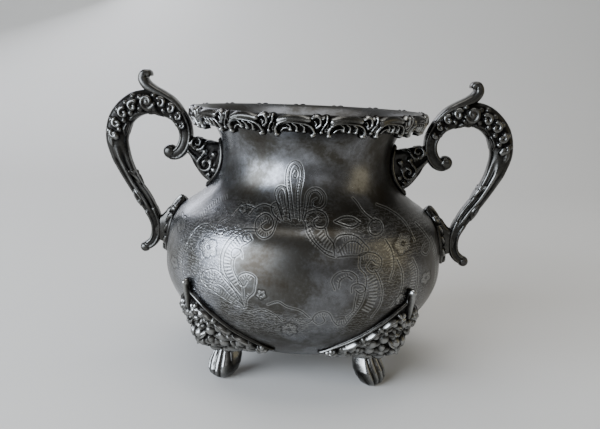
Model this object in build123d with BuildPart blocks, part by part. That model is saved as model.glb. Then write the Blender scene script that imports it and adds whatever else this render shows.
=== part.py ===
from build123d import *
import os
from math import cos, radians, sin

# A footed, two-handled sugar bowl of silver-plated Britannia metal.
# Millimetres, +Z up, origin on the table under the middle of the bowl, handles along X.

# ---- Spun body: where its outer wall turns, as radius and height ----
base_radius = 31.7
base_height = 12.0
belly_radius = 62.5
belly_height = 46.0
shoulder_radius = 50.0
shoulder_height = 74.0
neck_radius = 37.7
neck_height = 94.0
lip_radius = 50.6
lip_height = 113.6
body_wall = 1.0
plate_thickness = 1.0
plate_dish = 0.9

# Slopes of the wall at the base, the shoulder and the lip, in degrees from level
base_slope = 6.0
shoulder_slope = 36.0
lip_slope = 26.0

# ---- Cast border round the lip ----
border_radius = 52.4
border_drop = 10.0
border_rise = 1.4
border_thickness = 2.2
border_strips = 4
repeats_per_strip = 4
flower_radius = 3.0
bud_radius = 2.1
scallop_radius = 2.6

# ---- Cast handles ----
handle_crest_width = 11.2
handle_arm_width = 6.0
handle_stem_width = 6.2
handle_depth = 8.6
scroll_depth = 6.4
curl_radius = 3.4
thumb_radius = 3.6
tail_radius = 2.3
bracket_web = 5.0
pad_thickness = 1.7
fan_height = 22.0
fan_width = 15.0
leaf_height = 25.0
leaf_width = 14.0
lug_width = 6.5

# ---- Cast feet ----
foot_radius = 46.5
foot_angle = 45.0
leg_width = 11.6
leg_depth = 7.6
leg_flutes = 4
leg_height = 14.0
apron_relief = 2.6
apron_half_width = 28.0
apron_finial_height = 47.4
knee_radius = 13.5
knee_reach = 0.5

os.makedirs("parts", exist_ok=True)


def wall_outline(growth):
    """Draw the outer wall, moved out along its own normals, into an open BuildLine."""
    base_out = Vector(cos(radians(base_slope)), sin(radians(base_slope)))
    up = Vector(0, 1)
    inward = Vector(-cos(radians(shoulder_slope)), sin(radians(shoulder_slope)))
    outward = Vector(cos(radians(lip_slope)), sin(radians(lip_slope)))
    base = Vector(base_radius, base_height) + Vector(base_out.Y, -base_out.X) * growth
    belly = Vector(belly_radius + growth, belly_height)
    shoulder = Vector(shoulder_radius, shoulder_height) + Vector(inward.Y, -inward.X) * growth
    neck = Vector(neck_radius + growth, neck_height)
    lip = Vector(lip_radius, lip_height) + Vector(outward.Y, -outward.X) * growth
    lower_rise = belly_height - base_height
    upper_rise = shoulder_height - belly_height
    shoulder_run = neck_height - shoulder_height
    flare_rise = lip_height - neck_height
    Bezier(base, base + base_out * 0.32 * lower_rise, belly - up * 0.45 * lower_rise, belly)
    Bezier(belly, belly + up * 0.81 * upper_rise, shoulder - inward * 0.20 * upper_rise, shoulder)
    Bezier(shoulder, shoulder + inward * 0.34 * shoulder_run, neck - up * 0.58 * shoulder_run, neck)
    Bezier(neck, neck + up * 0.44 * flare_rise, lip - outward * 0.41 * flare_rise, lip)
    return base, lip


def body_form(growth):
    """The filled body, grown outwards by an amount, as a solid to trim castings against."""
    with BuildPart(mode=Mode.PRIVATE) as form:
        with BuildSketch(Plane.XZ):
            with BuildLine():
                base, lip = wall_outline(growth)
                Polyline((lip.X, lip.Y), (0, lip.Y), (0, base.Y), (base.X, base.Y))
            make_face()
        revolve(axis=Axis.Z)
    return form.part


filled_body = body_form(0)
padded_body = body_form(pad_thickness)
mounted_body = body_form(apron_relief)

# ---- The spun body: an even wall, open at the mouth and under the base ----
with BuildPart() as bowl_shell:
    add(filled_body)
    open_faces = bowl_shell.faces().filter_by(GeomType.PLANE)
    offset(amount=-body_wall, openings=open_faces, kind=Kind.INTERSECTION)
bowl_shell.part.label = "bowl_shell"
export_step(bowl_shell.part, "parts/bowl_shell.step")

# ---- The soldered disc that closes the base, dished a little so that it never rocks ----
plate_low = base_height - plate_thickness
dish_radius = base_radius - 4 * body_wall
with BuildPart() as bottom_plate:
    with BuildSketch(Plane.XZ):
        with BuildLine():
            Polyline(
                (0, plate_low + plate_dish),
                (0, base_height),
                (base_radius, base_height),
                (base_radius, plate_low),
            )
            Line((base_radius, plate_low), (dish_radius, plate_low))
            Spline((dish_radius, plate_low), (0, plate_low + plate_dish), tangents=((-1, 0.1), (-1, 0)))
        make_face()
    revolve(axis=Axis.Z)
bottom_plate.part.label = "bottom_plate"
export_step(bottom_plate.part, "parts/bottom_plate.step")

# ---- The right-hand handle, drawn in the XZ plane and repeated by a half turn for the left ----
# Its upper end is set out from the border and the lip, and its lower end from the belly.
# A station is: share of the way from the lip to the belly, x and z off that point, width, depth.
belly_run = belly_radius - border_radius
belly_fall = lip_height - belly_height


def handle_point(share, dx, dz):
    """A point of the handle's centre line as x and z."""
    return (border_radius + share * belly_run + dx, lip_height - share * belly_fall + dz)


crest = handle_crest_width
arm = handle_arm_width
stem = handle_stem_width
loop_stations = (
    (0.0, 9.6, -20.7, arm - 0.6, scroll_depth),
    (0.0, 7.0, -20.8, arm - 0.2, scroll_depth),
    (0.0, 4.4, -19.0, arm - 0.2, scroll_depth),
    (0.0, 3.0, -15.4, arm - 0.2, scroll_depth),
    (0.0, 2.8, -11.1, arm, 0.8 * handle_depth),
    (0.0, 4.2, -7.2, arm + 0.8, 0.85 * handle_depth),
    (0.0, 7.2, -3.6, 0.72 * crest, 0.9 * handle_depth),
    (0.0, 12.0, -0.2, 0.88 * crest, handle_depth),
    (0.1, 17.0, 8.7, crest, handle_depth),
    (0.2, 24.4, 13.7, crest, handle_depth),
    (0.3, 30.5, 14.0, crest, handle_depth),
    (0.4, 31.0, 11.6, 0.96 * crest, handle_depth),
    (0.5, 28.2, 11.3, 0.8 * crest, 0.9 * handle_depth),
    (0.6, 24.8, 12.5, stem + 0.9, 0.8 * handle_depth),
    (0.7, 19.4, 11.1, stem, scroll_depth),
    (0.8, 14.0, 12.2, stem + 0.2, scroll_depth),
    (0.9, 9.3, 11.6, stem, scroll_depth),
    (0.95, 6.9, 9.9, 0.85 * stem, 0.9 * scroll_depth),
    (1.0, 6.4, 8.2, 0.78 * stem, 0.85 * scroll_depth),
    (1.0, 8.0, 4.4, 0.76 * stem, 0.85 * scroll_depth),
    (1.0, 11.4, 1.8, 0.70 * stem, 0.8 * scroll_depth),
)
loop_points = [Vector(*handle_point(*station[:3])) for station in loop_stations]
curl_centre = loop_points[0]
tail_centre = loop_points[-1]
arm_point = loop_points[4]
crest_point = loop_points[9]


def across_loop(index):
    """The plane square to the centre line at one station, with its x axis along Y."""
    before = loop_points[max(index - 1, 0)]
    after = loop_points[min(index + 1, len(loop_points) - 1)]
    along = after - before
    point = loop_points[index]
    return Plane(origin=(point.X, 0, point.Y), x_dir=(0, 1, 0), z_dir=(along.X, 0, along.Y))


with BuildPart() as handle_loop:
    for index, station in enumerate(loop_stations):
        with BuildSketch(across_loop(index)):
            Ellipse(station[4] / 2, station[3] / 2)
    loft()
    # the rolled ends of the inner volute and of the lower scroll
    with Locations((curl_centre.X, 0, curl_centre.Y)):
        Sphere(curl_radius)
    with Locations((tail_centre.X, 0, tail_centre.Y)):
        Sphere(tail_radius)
    # the thumb scroll, a tapering neck with a rolled top that leans back towards the mouth
    thumb_root = crest_point + Vector(-6.5, 1.4)
    thumb_top = crest_point + Vector(-5.5, 12.4)
    with BuildSketch(Plane.XY.offset(thumb_root.Y)):
        with Locations((thumb_root.X, 0)):
            Ellipse(0.55 * crest, 0.42 * handle_depth)
    with BuildSketch(Plane.XY.offset((thumb_root.Y + thumb_top.Y) / 2)):
        with Locations((thumb_top.X - 0.4, 0)):
            Ellipse(0.32 * crest, 0.34 * handle_depth)
    with BuildSketch(Plane.XY.offset(thumb_top.Y)):
        with Locations((thumb_top.X, 0)):
            Ellipse(0.8 * thumb_radius, 0.8 * thumb_radius)
    loft()
    with Locations((thumb_top.X, 0, thumb_top.Y)):
        Sphere(thumb_radius)

# ---- The border: four cast strips that meet end to end round the lip ----
strip_angle = 360 / border_strips
repeat_angle = strip_angle / repeats_per_strip
border_low_radius = border_radius - 3.4
border_low_height = lip_height - border_drop
strip_names = ("right", "back", "left", "front")

for strip_index, strip_name in enumerate(strip_names):
    start_angle = strip_index * strip_angle - strip_angle / 2
    with BuildPart() as rim_border:
        with BuildSketch(Plane.XZ.rotated((0, 0, start_angle))):
            with BuildLine():
                Spline(
                    (lip_radius, lip_height + border_rise),
                    (border_radius, lip_height + 0.4 * border_rise),
                    (border_radius + 0.2, lip_height - 0.3 * border_drop),
                    (border_low_radius, border_low_height),
                )
                Line(
                    (border_low_radius, border_low_height),
                    (border_low_radius - border_thickness, border_low_height + 0.6),
                )
                Line(
                    (border_low_radius - border_thickness, border_low_height + 0.6),
                    (lip_radius - border_thickness, lip_height - border_thickness),
                )
                Line(
                    (lip_radius - border_thickness, lip_height - border_thickness),
                    (lip_radius, lip_height + border_rise),
                )
            make_face()
        revolve(axis=Axis.Z, revolution_arc=strip_angle)
        for repeat in range(repeats_per_strip):
            flower_angle = start_angle + (repeat + 0.5) * repeat_angle
            flower_plane = Plane.XZ.rotated((0, 0, flower_angle))
            with Locations(flower_plane * Pos(border_radius - 1.6, lip_height - 0.46 * border_drop, 0)):
                Sphere(flower_radius)
            for side in (-1, 1):
                bud_plane = Plane.XZ.rotated((0, 0, flower_angle + side * 0.3 * repeat_angle))
                with Locations(bud_plane * Pos(border_radius - 1.4, lip_height - 0.3 * border_drop, 0)):
                    Sphere(bud_radius)
                scallop_plane = Plane.YZ.rotated((0, 0, flower_angle + side * 0.28 * repeat_angle))
                scallop_middle = Pos(0, border_low_height - 0.3 * scallop_radius, border_radius)
                with Locations(scallop_plane * scallop_middle):
                    Cylinder(scallop_radius, 4 * border_thickness + 6, mode=Mode.SUBTRACT)
        add(filled_body, mode=Mode.SUBTRACT)
        for turn in (0, 180):
            add(handle_loop.part, rotation=(0, 0, turn), mode=Mode.SUBTRACT)
    rim_border.part.label = "rim_border_" + strip_name
    export_step(rim_border.part, "parts/rim_border_" + strip_name + ".step")

# ---- The fan that holds the loop to the neck: a leaf that lies on the neck, and a web to the loop ----
fan_middle = neck_height - 5.0
with BuildPart() as fan_leaf:
    with BuildSketch(Plane.YZ):
        with Locations((0, fan_middle)):
            Ellipse(fan_width / 2, fan_height / 2)
    extrude(amount=border_radius)
    add(padded_body, mode=Mode.INTERSECT)
    add(filled_body, mode=Mode.SUBTRACT)

with BuildPart() as upper_bracket:
    with BuildSketch(Plane.XZ):
        with BuildLine():
            Spline(
                (arm_point.X, arm_point.Y - 1.0),
                (arm_point.X - 5.6, arm_point.Y - 5.4),
                (neck_radius, neck_height + 6.0),
            )
            Polyline(
                (neck_radius, neck_height + 6.0),
                (neck_radius - 4.0, fan_middle),
                (neck_radius + 4.0, neck_height - 15.0),
            )
            Spline(
                (neck_radius + 4.0, neck_height - 15.0),
                (neck_radius + 7.4, neck_height - 9.6),
                (curl_centre.X - 5.0, curl_centre.Y - 1.0),
            )
            Line((curl_centre.X - 5.0, curl_centre.Y - 1.0), (arm_point.X, arm_point.Y - 1.0))
        make_face()
    extrude(amount=bracket_web / 2, both=True)
    add(filled_body, mode=Mode.SUBTRACT)
    add(fan_leaf.part)
    add(handle_loop.part, mode=Mode.SUBTRACT)

# ---- The leaf that holds the stem to the belly: a pad that lies on the belly, and a lug to the stem ----
leaf_middle = belly_height + 0.5 * leaf_height
stem_point = loop_points[18]
lug_root = belly_radius - 3.0
with BuildPart() as belly_leaf:
    with BuildSketch(Plane.YZ):
        with Locations((0, leaf_middle)):
            Ellipse(leaf_width / 2, leaf_height / 2)
    extrude(amount=2 * belly_radius)
    add(padded_body, mode=Mode.INTERSECT)
    add(filled_body, mode=Mode.SUBTRACT)

with BuildPart() as lower_mount:
    with BuildSketch(Plane.XZ):
        with BuildLine():
            Polyline(
                (stem_point.X, stem_point.Y + 9.0),
                (lug_root, stem_point.Y + 11.0),
                (lug_root, stem_point.Y - 6.5),
                (stem_point.X, stem_point.Y - 3.5),
                close=True,
            )
        make_face()
    extrude(amount=lug_width / 2, both=True)
    add(filled_body, mode=Mode.SUBTRACT)
    add(belly_leaf.part)
    add(handle_loop.part, mode=Mode.SUBTRACT)

handle_pieces = (
    (handle_loop, "handle_{}"),
    (upper_bracket, "handle_{}_upper_bracket"),
    (lower_mount, "handle_{}_lower_mount"),
)
for side_name, turn in (("right", 0), ("left", 180)):
    for piece, name_form in handle_pieces:
        with BuildPart() as handle_piece:
            add(piece.part, rotation=(0, 0, turn))
        handle_piece.part.label = name_form.format(side_name)
        export_step(handle_piece.part, "parts/" + handle_piece.part.label + ".step")

# ---- One foot, built facing +X and repeated round the bowl ----
# A station of the leg is: height, radius from the bowl's axis, width, depth.
leg_stations = (
    (0.0, 0.0, 0.72, 0.62),
    (2.6, 0.9, 0.92, 0.92),
    (6.4, 0.2, 1.00, 1.00),
    (10.6, -0.9, 0.94, 0.92),
    (leg_height, -0.4, 1.00, 1.00),
)
with BuildPart() as foot_leg:
    for height, shift, wide, deep in leg_stations:
        reed = wide * leg_width / leg_flutes
        with BuildSketch(Plane.XY.offset(height)):
            with Locations((foot_radius + shift, 0)):
                Rectangle(deep * leg_depth, wide * leg_width - reed)
            with Locations((foot_radius + shift, 0)):
                with GridLocations(0, reed, 1, leg_flutes):
                    Ellipse(0.62 * deep * leg_depth, 0.56 * reed)
    loft()
    add(filled_body, mode=Mode.SUBTRACT)

# the skin of metal that the apron is cut from: even over the belly, swelling to a knee above the leg
with BuildPart() as apron_skin:
    add(mounted_body)
    with Locations((foot_radius + knee_reach, 0, 2 * leg_height)):
        Sphere(knee_radius)
    add(filled_body, mode=Mode.SUBTRACT)

with BuildPart() as foot_apron:
    with BuildSketch(Plane.YZ):
        with BuildLine():
            for side in (1, -1):
                Spline(
                    (0, apron_finial_height),
                    (side * 0.07 * apron_half_width, 0.88 * apron_finial_height),
                    (side * 0.42 * apron_half_width, 0.71 * apron_finial_height),
                    (side * apron_half_width, leg_height + 4.0),
                )
                Polyline(
                    (side * apron_half_width, leg_height + 4.0),
                    (side * 0.9 * apron_half_width, leg_height + 1.0),
                    (side * 0.5 * apron_half_width, leg_height),
                    (0, leg_height),
                )
        make_face()
    extrude(amount=2 * belly_radius)
    add(apron_skin.part, mode=Mode.INTERSECT)

foot_names = ("back_right", "back_left", "front_left", "front_right")
for foot_index, foot_name in enumerate(foot_names):
    turn = foot_angle + foot_index * 90
    for piece, ending in ((foot_leg, "_leg"), (foot_apron, "_apron")):
        with BuildPart() as foot_piece:
            add(piece.part, rotation=(0, 0, turn))
        foot_piece.part.label = "foot_" + foot_name + ending
        export_step(foot_piece.part, "parts/" + foot_piece.part.label + ".step")
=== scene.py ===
import logging
import math
from dataclasses import dataclass, field
from enum import Enum

import bpy
import numpy as np
from mathutils import Matrix, Vector


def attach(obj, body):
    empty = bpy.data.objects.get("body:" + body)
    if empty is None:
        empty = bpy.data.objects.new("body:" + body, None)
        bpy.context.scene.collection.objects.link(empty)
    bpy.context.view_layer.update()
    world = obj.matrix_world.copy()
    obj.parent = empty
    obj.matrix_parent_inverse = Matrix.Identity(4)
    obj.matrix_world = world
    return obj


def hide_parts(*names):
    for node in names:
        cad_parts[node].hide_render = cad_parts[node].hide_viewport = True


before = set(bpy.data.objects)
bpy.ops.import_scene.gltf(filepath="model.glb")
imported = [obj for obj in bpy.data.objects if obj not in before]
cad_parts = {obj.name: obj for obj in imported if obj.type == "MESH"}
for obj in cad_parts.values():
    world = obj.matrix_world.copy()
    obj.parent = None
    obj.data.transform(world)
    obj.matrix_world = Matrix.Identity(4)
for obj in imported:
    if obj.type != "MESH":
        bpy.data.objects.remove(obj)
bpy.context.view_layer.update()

# The looks of a footed, two-handled sugar bowl in tarnished silver plate. Sizes in the classes are
# millimetres in the frame's axes: +Z up, handles along X, the engraved shield facing -Y.

MM = 0.001
FRONT = -0.5 * math.pi
LOG = logging.getLogger("sugar_bowl")


# ------------------------------------------------------------------ meshes and curves


@dataclass
class Surface:
    """A closed skin in millimetres: points, faces as rows of indices, values for points, flat end faces."""

    points: np.ndarray
    quads: np.ndarray
    triangles: np.ndarray
    marks: dict[str, np.ndarray] = field(default_factory=dict)
    ends: tuple[np.ndarray, ...] = ()


def ring_surface(rings: np.ndarray, marks: dict[str, np.ndarray] | None = None) -> Surface:
    """Close a stack of rings into a skin: quads between neighbouring rings, a fan over each end.

    Args:
        rings: Points as (ring, place round the ring, xyz); the last place joins the first.
        marks: Values for each point, as (ring, place) arrays.

    Returns:
        A closed surface whose faces point outwards.
    """
    rows, columns, _ = rings.shape
    index = np.arange(rows * columns).reshape(rows, columns)
    ahead = np.roll(index, -1, axis=1)
    quads = np.stack([index[:-1], ahead[:-1], ahead[1:], index[1:]], axis=-1).reshape(-1, 4)
    first = np.full(columns, rows * columns)
    last = first + 1
    triangles = np.concatenate([
        np.stack([first, ahead[0], index[0]], axis=-1),
        np.stack([last, index[-1], ahead[-1]], axis=-1),
    ])
    poles = np.stack([rings[0].mean(axis=0), rings[-1].mean(axis=0)])
    points = np.concatenate([rings.reshape(-1, 3), poles])
    values = {
        name: np.concatenate([value.reshape(-1), [value[0].mean(), value[-1].mean()]])
        for name, value in (marks or {}).items()
    }
    return outward(Surface(points, quads, triangles, values))


def outward(surface: Surface) -> Surface:
    """Turn every face of a closed surface if its signed volume is negative.

    Args:
        surface: A closed surface with faces that agree with each other.

    Returns:
        The same surface with its faces pointing out.
    """
    first_halves = surface.quads[:, (0, 1, 2)]
    second_halves = surface.quads[:, (0, 2, 3)]
    corners = surface.points[np.concatenate([first_halves, second_halves, surface.triangles])]
    volume = np.einsum("ij,ij->i", corners[:, 0], np.cross(corners[:, 1], corners[:, 2])).sum()
    if volume < 0:
        surface.quads = surface.quads[:, ::-1]
        surface.triangles = surface.triangles[:, ::-1]
        surface.ends = tuple(end[::-1] for end in surface.ends)
    return surface


def make_piece(name: str, surfaces: list[Surface], material: bpy.types.Material,
               replaces: tuple[str, ...] = ()) -> bpy.types.Object:
    """Join surfaces into one object at the origin, dress it and tie it to the frame.

    Args:
        name: The object's name.
        surfaces: Closed surfaces in millimetres.
        material: The finish of the whole piece.
        replaces: CAD nodes that the piece stands for.

    Returns:
        The new object, in metres.
    """
    starts = np.cumsum([0] + [len(s.points) for s in surfaces])
    points = np.concatenate([s.points for s in surfaces]) * MM
    quads = np.concatenate([s.quads + start for s, start in zip(surfaces, starts)])
    triangles = np.concatenate([s.triangles + start for s, start in zip(surfaces, starts)])
    mesh = bpy.data.meshes.new(name)
    mesh.vertices.add(len(points))
    mesh.vertices.foreach_set("co", points.astype(np.float32).ravel())
    ends = [end + start for s, start in zip(surfaces, starts) for end in s.ends]
    corners = np.concatenate([quads.ravel(), triangles.ravel()] + ends)
    mesh.loops.add(len(corners))
    mesh.loops.foreach_set("vertex_index", corners.astype(np.int32))
    sizes = np.concatenate([np.full(len(quads), 4), np.full(len(triangles), 3),
                            np.array([len(end) for end in ends], dtype=int)])
    mesh.polygons.add(len(sizes))
    mesh.polygons.foreach_set("loop_start", (np.cumsum(sizes) - sizes).astype(np.int32))
    mesh.polygons.foreach_set("use_smooth", sizes <= 4)
    mesh.update(calc_edges=True)
    for mark in sorted({key for s in surfaces for key in s.marks}):
        values = np.concatenate([s.marks.get(mark, np.full(len(s.points), 0.5)) for s in surfaces])
        mesh.attributes.new(mark, "FLOAT", "POINT").data.foreach_set("value", values.astype(np.float32))
    piece = bpy.data.objects.new(name, mesh)
    bpy.context.scene.collection.objects.link(piece)
    mesh.materials.append(material)
    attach(piece, "root")
    if replaces:
        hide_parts(*replaces)
    LOG.info("%s: %d points, %d faces", name, len(points), len(sizes))
    return piece


def smooth_line(points: list[tuple[float, ...]], count: int) -> np.ndarray:
    """Carry a curve through points (Catmull-Rom with even knots) and space it evenly by length.

    Args:
        points: The points it passes through, two or more numbers each.
        count: How many points to return.

    Returns:
        An array of points along the curve.
    """
    knots = np.asarray(points, dtype=float)
    padded = np.vstack([2 * knots[0] - knots[1], knots, 2 * knots[-1] - knots[-2]])
    share = np.linspace(0, 1, 24, endpoint=False)[:, None]
    before, start, end, after = padded[:-3], padded[1:-2], padded[2:-1], padded[3:]
    spans = [
        0.5 * (2 * b + (c - a) * share + (2 * a - 5 * b + 4 * c - d) * share**2
               + (3 * b - a - 3 * c + d) * share**3)
        for a, b, c, d in zip(before, start, end, after)
    ]
    dense = np.vstack(spans + [knots[-1:]])
    steps = np.linalg.norm(np.diff(dense[:, :2], axis=0), axis=1)
    travelled = np.concatenate([[0], np.cumsum(steps)])
    even = np.linspace(0, travelled[-1], count)
    return np.stack([np.interp(even, travelled, dense[:, k]) for k in range(dense.shape[1])], axis=1)


def spiral_line(centre: tuple[float, float], radius: float, start: float, turns: float,
                inner: float = 0.22, count: int = 28) -> list[tuple[float, float]]:
    """Wind a curve in towards a centre: the radius falls evenly from full to a share of it.

    Args:
        centre: The middle of the spiral.
        radius: The radius at its outer end.
        start: The angle of its outer end, in degrees.
        turns: Turns to make; positive winds anticlockwise.
        inner: The share of the radius that is left at the inner end.
        count: How many points to make.

    Returns:
        The points from the outer end to the inner end.
    """
    share = np.linspace(0, 1, count)
    angle = math.radians(start) + 2 * math.pi * turns * share
    reach = radius * (1 - (1 - inner) * share)
    return list(zip(centre[0] + reach * np.cos(angle), centre[1] + reach * np.sin(angle)))


def hard_ended(first: float, last: float, count: int, gap: float = 0.0002) -> np.ndarray:
    """Even angles from first to last, with one more a hair's breadth from each end.

    The narrow faces between take up the turn from a wall to its flat end, so the wall's shading
    runs on unbroken over a seam.

    Args:
        first: The first angle.
        last: The last angle.
        count: How many angles.
        gap: The hair's breadth, in radians.

    Returns:
        The angles.
    """
    return np.concatenate([[first], np.linspace(first + gap, last - gap, count - 2), [last]])


def around(radius: np.ndarray, azimuth: np.ndarray, height: np.ndarray) -> np.ndarray:
    """Stack points from radii, angles round the axis and heights.

    Args:
        radius: Distances from the axis.
        azimuth: Angles from +X.
        height: Heights. The three are spread to one shape.

    Returns:
        The points.
    """
    return np.stack(np.broadcast_arrays(radius * np.cos(azimuth), radius * np.sin(azimuth), height),
                    axis=-1)


def bump(offset: np.ndarray, half_width: float) -> np.ndarray:
    """A rounded hump: the square root of one minus the squared offset over the half width."""
    return np.sqrt(np.clip(1 - (offset / half_width) ** 2, 0, 1))


@dataclass
class Relief:
    """Raised ornament over two flat coordinates. Where shapes overlap, the higher one shows."""

    across: np.ndarray
    along: np.ndarray
    height: np.ndarray

    def bead(self, x: float, y: float, radius: float, rise: float) -> None:
        """Lay a round bead: a dome over the distance from its middle."""
        distance = np.hypot(self.across - x, self.along - y)
        self.height = np.maximum(self.height, rise * bump(distance, radius))

    def flower(self, x: float, y: float, radius: float, rise: float, petals: int,
               turn: float = 0.0) -> None:
        """Lay a flower: a dome cut into petals by a cosine of the angle, with a bead at its heart.

        Args:
            x: Its middle across.
            y: Its middle along.
            radius: The reach of its petals.
            rise: The height of its heart.
            petals: How many petals.
            turn: How far it is turned, in radians.
        """
        dx = self.across - x
        dy = self.along - y
        distance = np.hypot(dx, dy)
        angle = np.arctan2(dy, dx) + turn
        lobe = np.abs(np.cos(0.5 * petals * angle))
        reach = radius * (0.72 + 0.28 * lobe)
        dish = 0.62 + 0.38 * np.clip(distance / radius, 0, 1)
        petal = rise * dish * bump(distance / reach, 1.0) * (0.45 + 0.55 * lobe**0.6)
        heart = 0.95 * rise * bump(distance, 0.3 * radius)
        self.height = np.maximum(self.height, np.maximum(petal, heart))

    def stroke(self, points: np.ndarray, width: float, rise: float, taper: float = 0.0) -> None:
        """Lay a rounded cord along a line: a dome over the distance from it.

        Args:
            points: The line.
            width: The cord's width at its start.
            rise: Its height at its start.
            taper: The share of the width that is lost by its end.
        """
        distance, share = line_distance(self.across, self.along, points, 0.5 * width + 0.2)
        half = 0.5 * width * (1 - taper * share)
        self.height = np.maximum(self.height, rise * (1 - 0.4 * taper * share) * bump(distance / half, 1.0))

    def leaf(self, points: np.ndarray, width: float, rise: float) -> None:
        """Lay a leaf along a line: pointed at both ends, with a groove down its middle.

        Args:
            points: The line of its middle.
            width: Its width at the widest place.
            rise: Its height.
        """
        distance, share = line_distance(self.across, self.along, points, 0.5 * width + 0.2)
        half = 0.5 * width * np.sin(math.pi * np.clip(0.08 + 0.9 * share, 0, 1)) ** 0.75 + 1e-6
        vein = 1 - 0.45 * np.exp(-(distance / (0.16 * width)) ** 2)
        self.height = np.maximum(self.height, rise * vein * bump(distance / half, 1.0))


def line_distance(x: np.ndarray, y: np.ndarray, points: np.ndarray, reach: float
                  ) -> tuple[np.ndarray, np.ndarray]:
    """Find how far each place is from a line of points, and how far along it the nearest place is.

    Each straight run is measured by dropping a square onto it and clamping it to the run's ends.
    Places outside the line's box, grown by reach, are left at infinity.

    Args:
        x: First coordinates of the places.
        y: Second coordinates.
        points: The line.
        reach: How far away a place can still matter.

    Returns:
        The distances, and the shares of the line's length from 0 to 1.
    """
    line = np.asarray(points, dtype=float)
    low = line.min(axis=0) - reach
    high = line.max(axis=0) + reach
    near = (x > low[0]) & (x < high[0]) & (y > low[1]) & (y < high[1])
    distance = np.full(x.shape, np.inf)
    share = np.zeros(x.shape)
    px = x[near]
    py = y[near]
    best = np.full(px.shape, np.inf)
    where = np.zeros(px.shape)
    runs = np.diff(line, axis=0)
    lengths = np.hypot(runs[:, 0], runs[:, 1])
    total = max(lengths.sum(), 1e-9)
    travelled = 0.0
    for (ax, ay), (dx, dy), length in zip(line[:-1], runs, lengths):
        t = np.clip(((px - ax) * dx + (py - ay) * dy) / max(length**2, 1e-12), 0, 1)
        d = np.hypot(px - ax - t * dx, py - ay - t * dy)
        closer = d < best
        best = np.where(closer, d, best)
        where = np.where(closer, (travelled + t * length) / total, where)
        travelled += length
    distance[near] = best
    share[near] = where
    return distance, share


# ------------------------------------------------------------------ finishes


def linear(colour: str) -> tuple[float, float, float, float]:
    """Turn an sRGB hex colour to linear values.

    Args:
        colour: Six hex digits, such as "8a8a88".

    Returns:
        Red, green, blue and an alpha of one.
    """
    channels = [int(colour[k:k + 2], 16) / 255 for k in (0, 2, 4)]
    turned = [c / 12.92 if c <= 0.04045 else ((c + 0.055) / 1.055) ** 2.4 for c in channels]
    return (turned[0], turned[1], turned[2], 1.0)


def add_node(tree: bpy.types.NodeTree, kind: str, settings: dict | None = None,
             links: dict | None = None) -> bpy.types.Node:
    """Add one shader node with its settings and links.

    Args:
        tree: The material's node tree.
        kind: The node's type name.
        settings: Socket names or numbers, or node attributes, and their values.
        links: Input socket names or numbers, and the output sockets that feed them.

    Returns:
        The new node.
    """
    node = tree.nodes.new(kind)
    for key, value in (settings or {}).items():
        if isinstance(key, int) or key in node.inputs:
            node.inputs[key].default_value = value
        else:
            setattr(node, key, value)
    for key, source in (links or {}).items():
        tree.links.new(source, node.inputs[key])
    return node


def ramp(tree: bpy.types.NodeTree, source: bpy.types.NodeSocket,
         stops: list[tuple[float, tuple[float, float, float, float]]]) -> bpy.types.NodeSocket:
    """Turn a value into a colour by a ramp.

    Args:
        tree: The material's node tree.
        source: The value.
        stops: Places from 0 to 1 and their colours.

    Returns:
        The colour output.
    """
    node = add_node(tree, "ShaderNodeValToRGB", links={"Fac": source})
    elements = node.color_ramp.elements
    while len(elements) < len(stops):
        elements.new(0.5)
    for element, (place, colour) in zip(elements, stops):
        element.position = place
        element.color = colour
    return node.outputs["Color"]


def new_material(name: str) -> tuple[bpy.types.Material, bpy.types.NodeTree, bpy.types.NodeSocket]:
    """Start a material with an empty node tree.

    Args:
        name: The material's name.

    Returns:
        The material, its tree and the Object coordinates, on which every pattern lies.
    """
    material = bpy.data.materials.new(name)
    material.use_nodes = True
    tree = material.node_tree
    tree.nodes.clear()
    return material, tree, add_node(tree, "ShaderNodeTexCoord").outputs["Object"]


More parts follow.
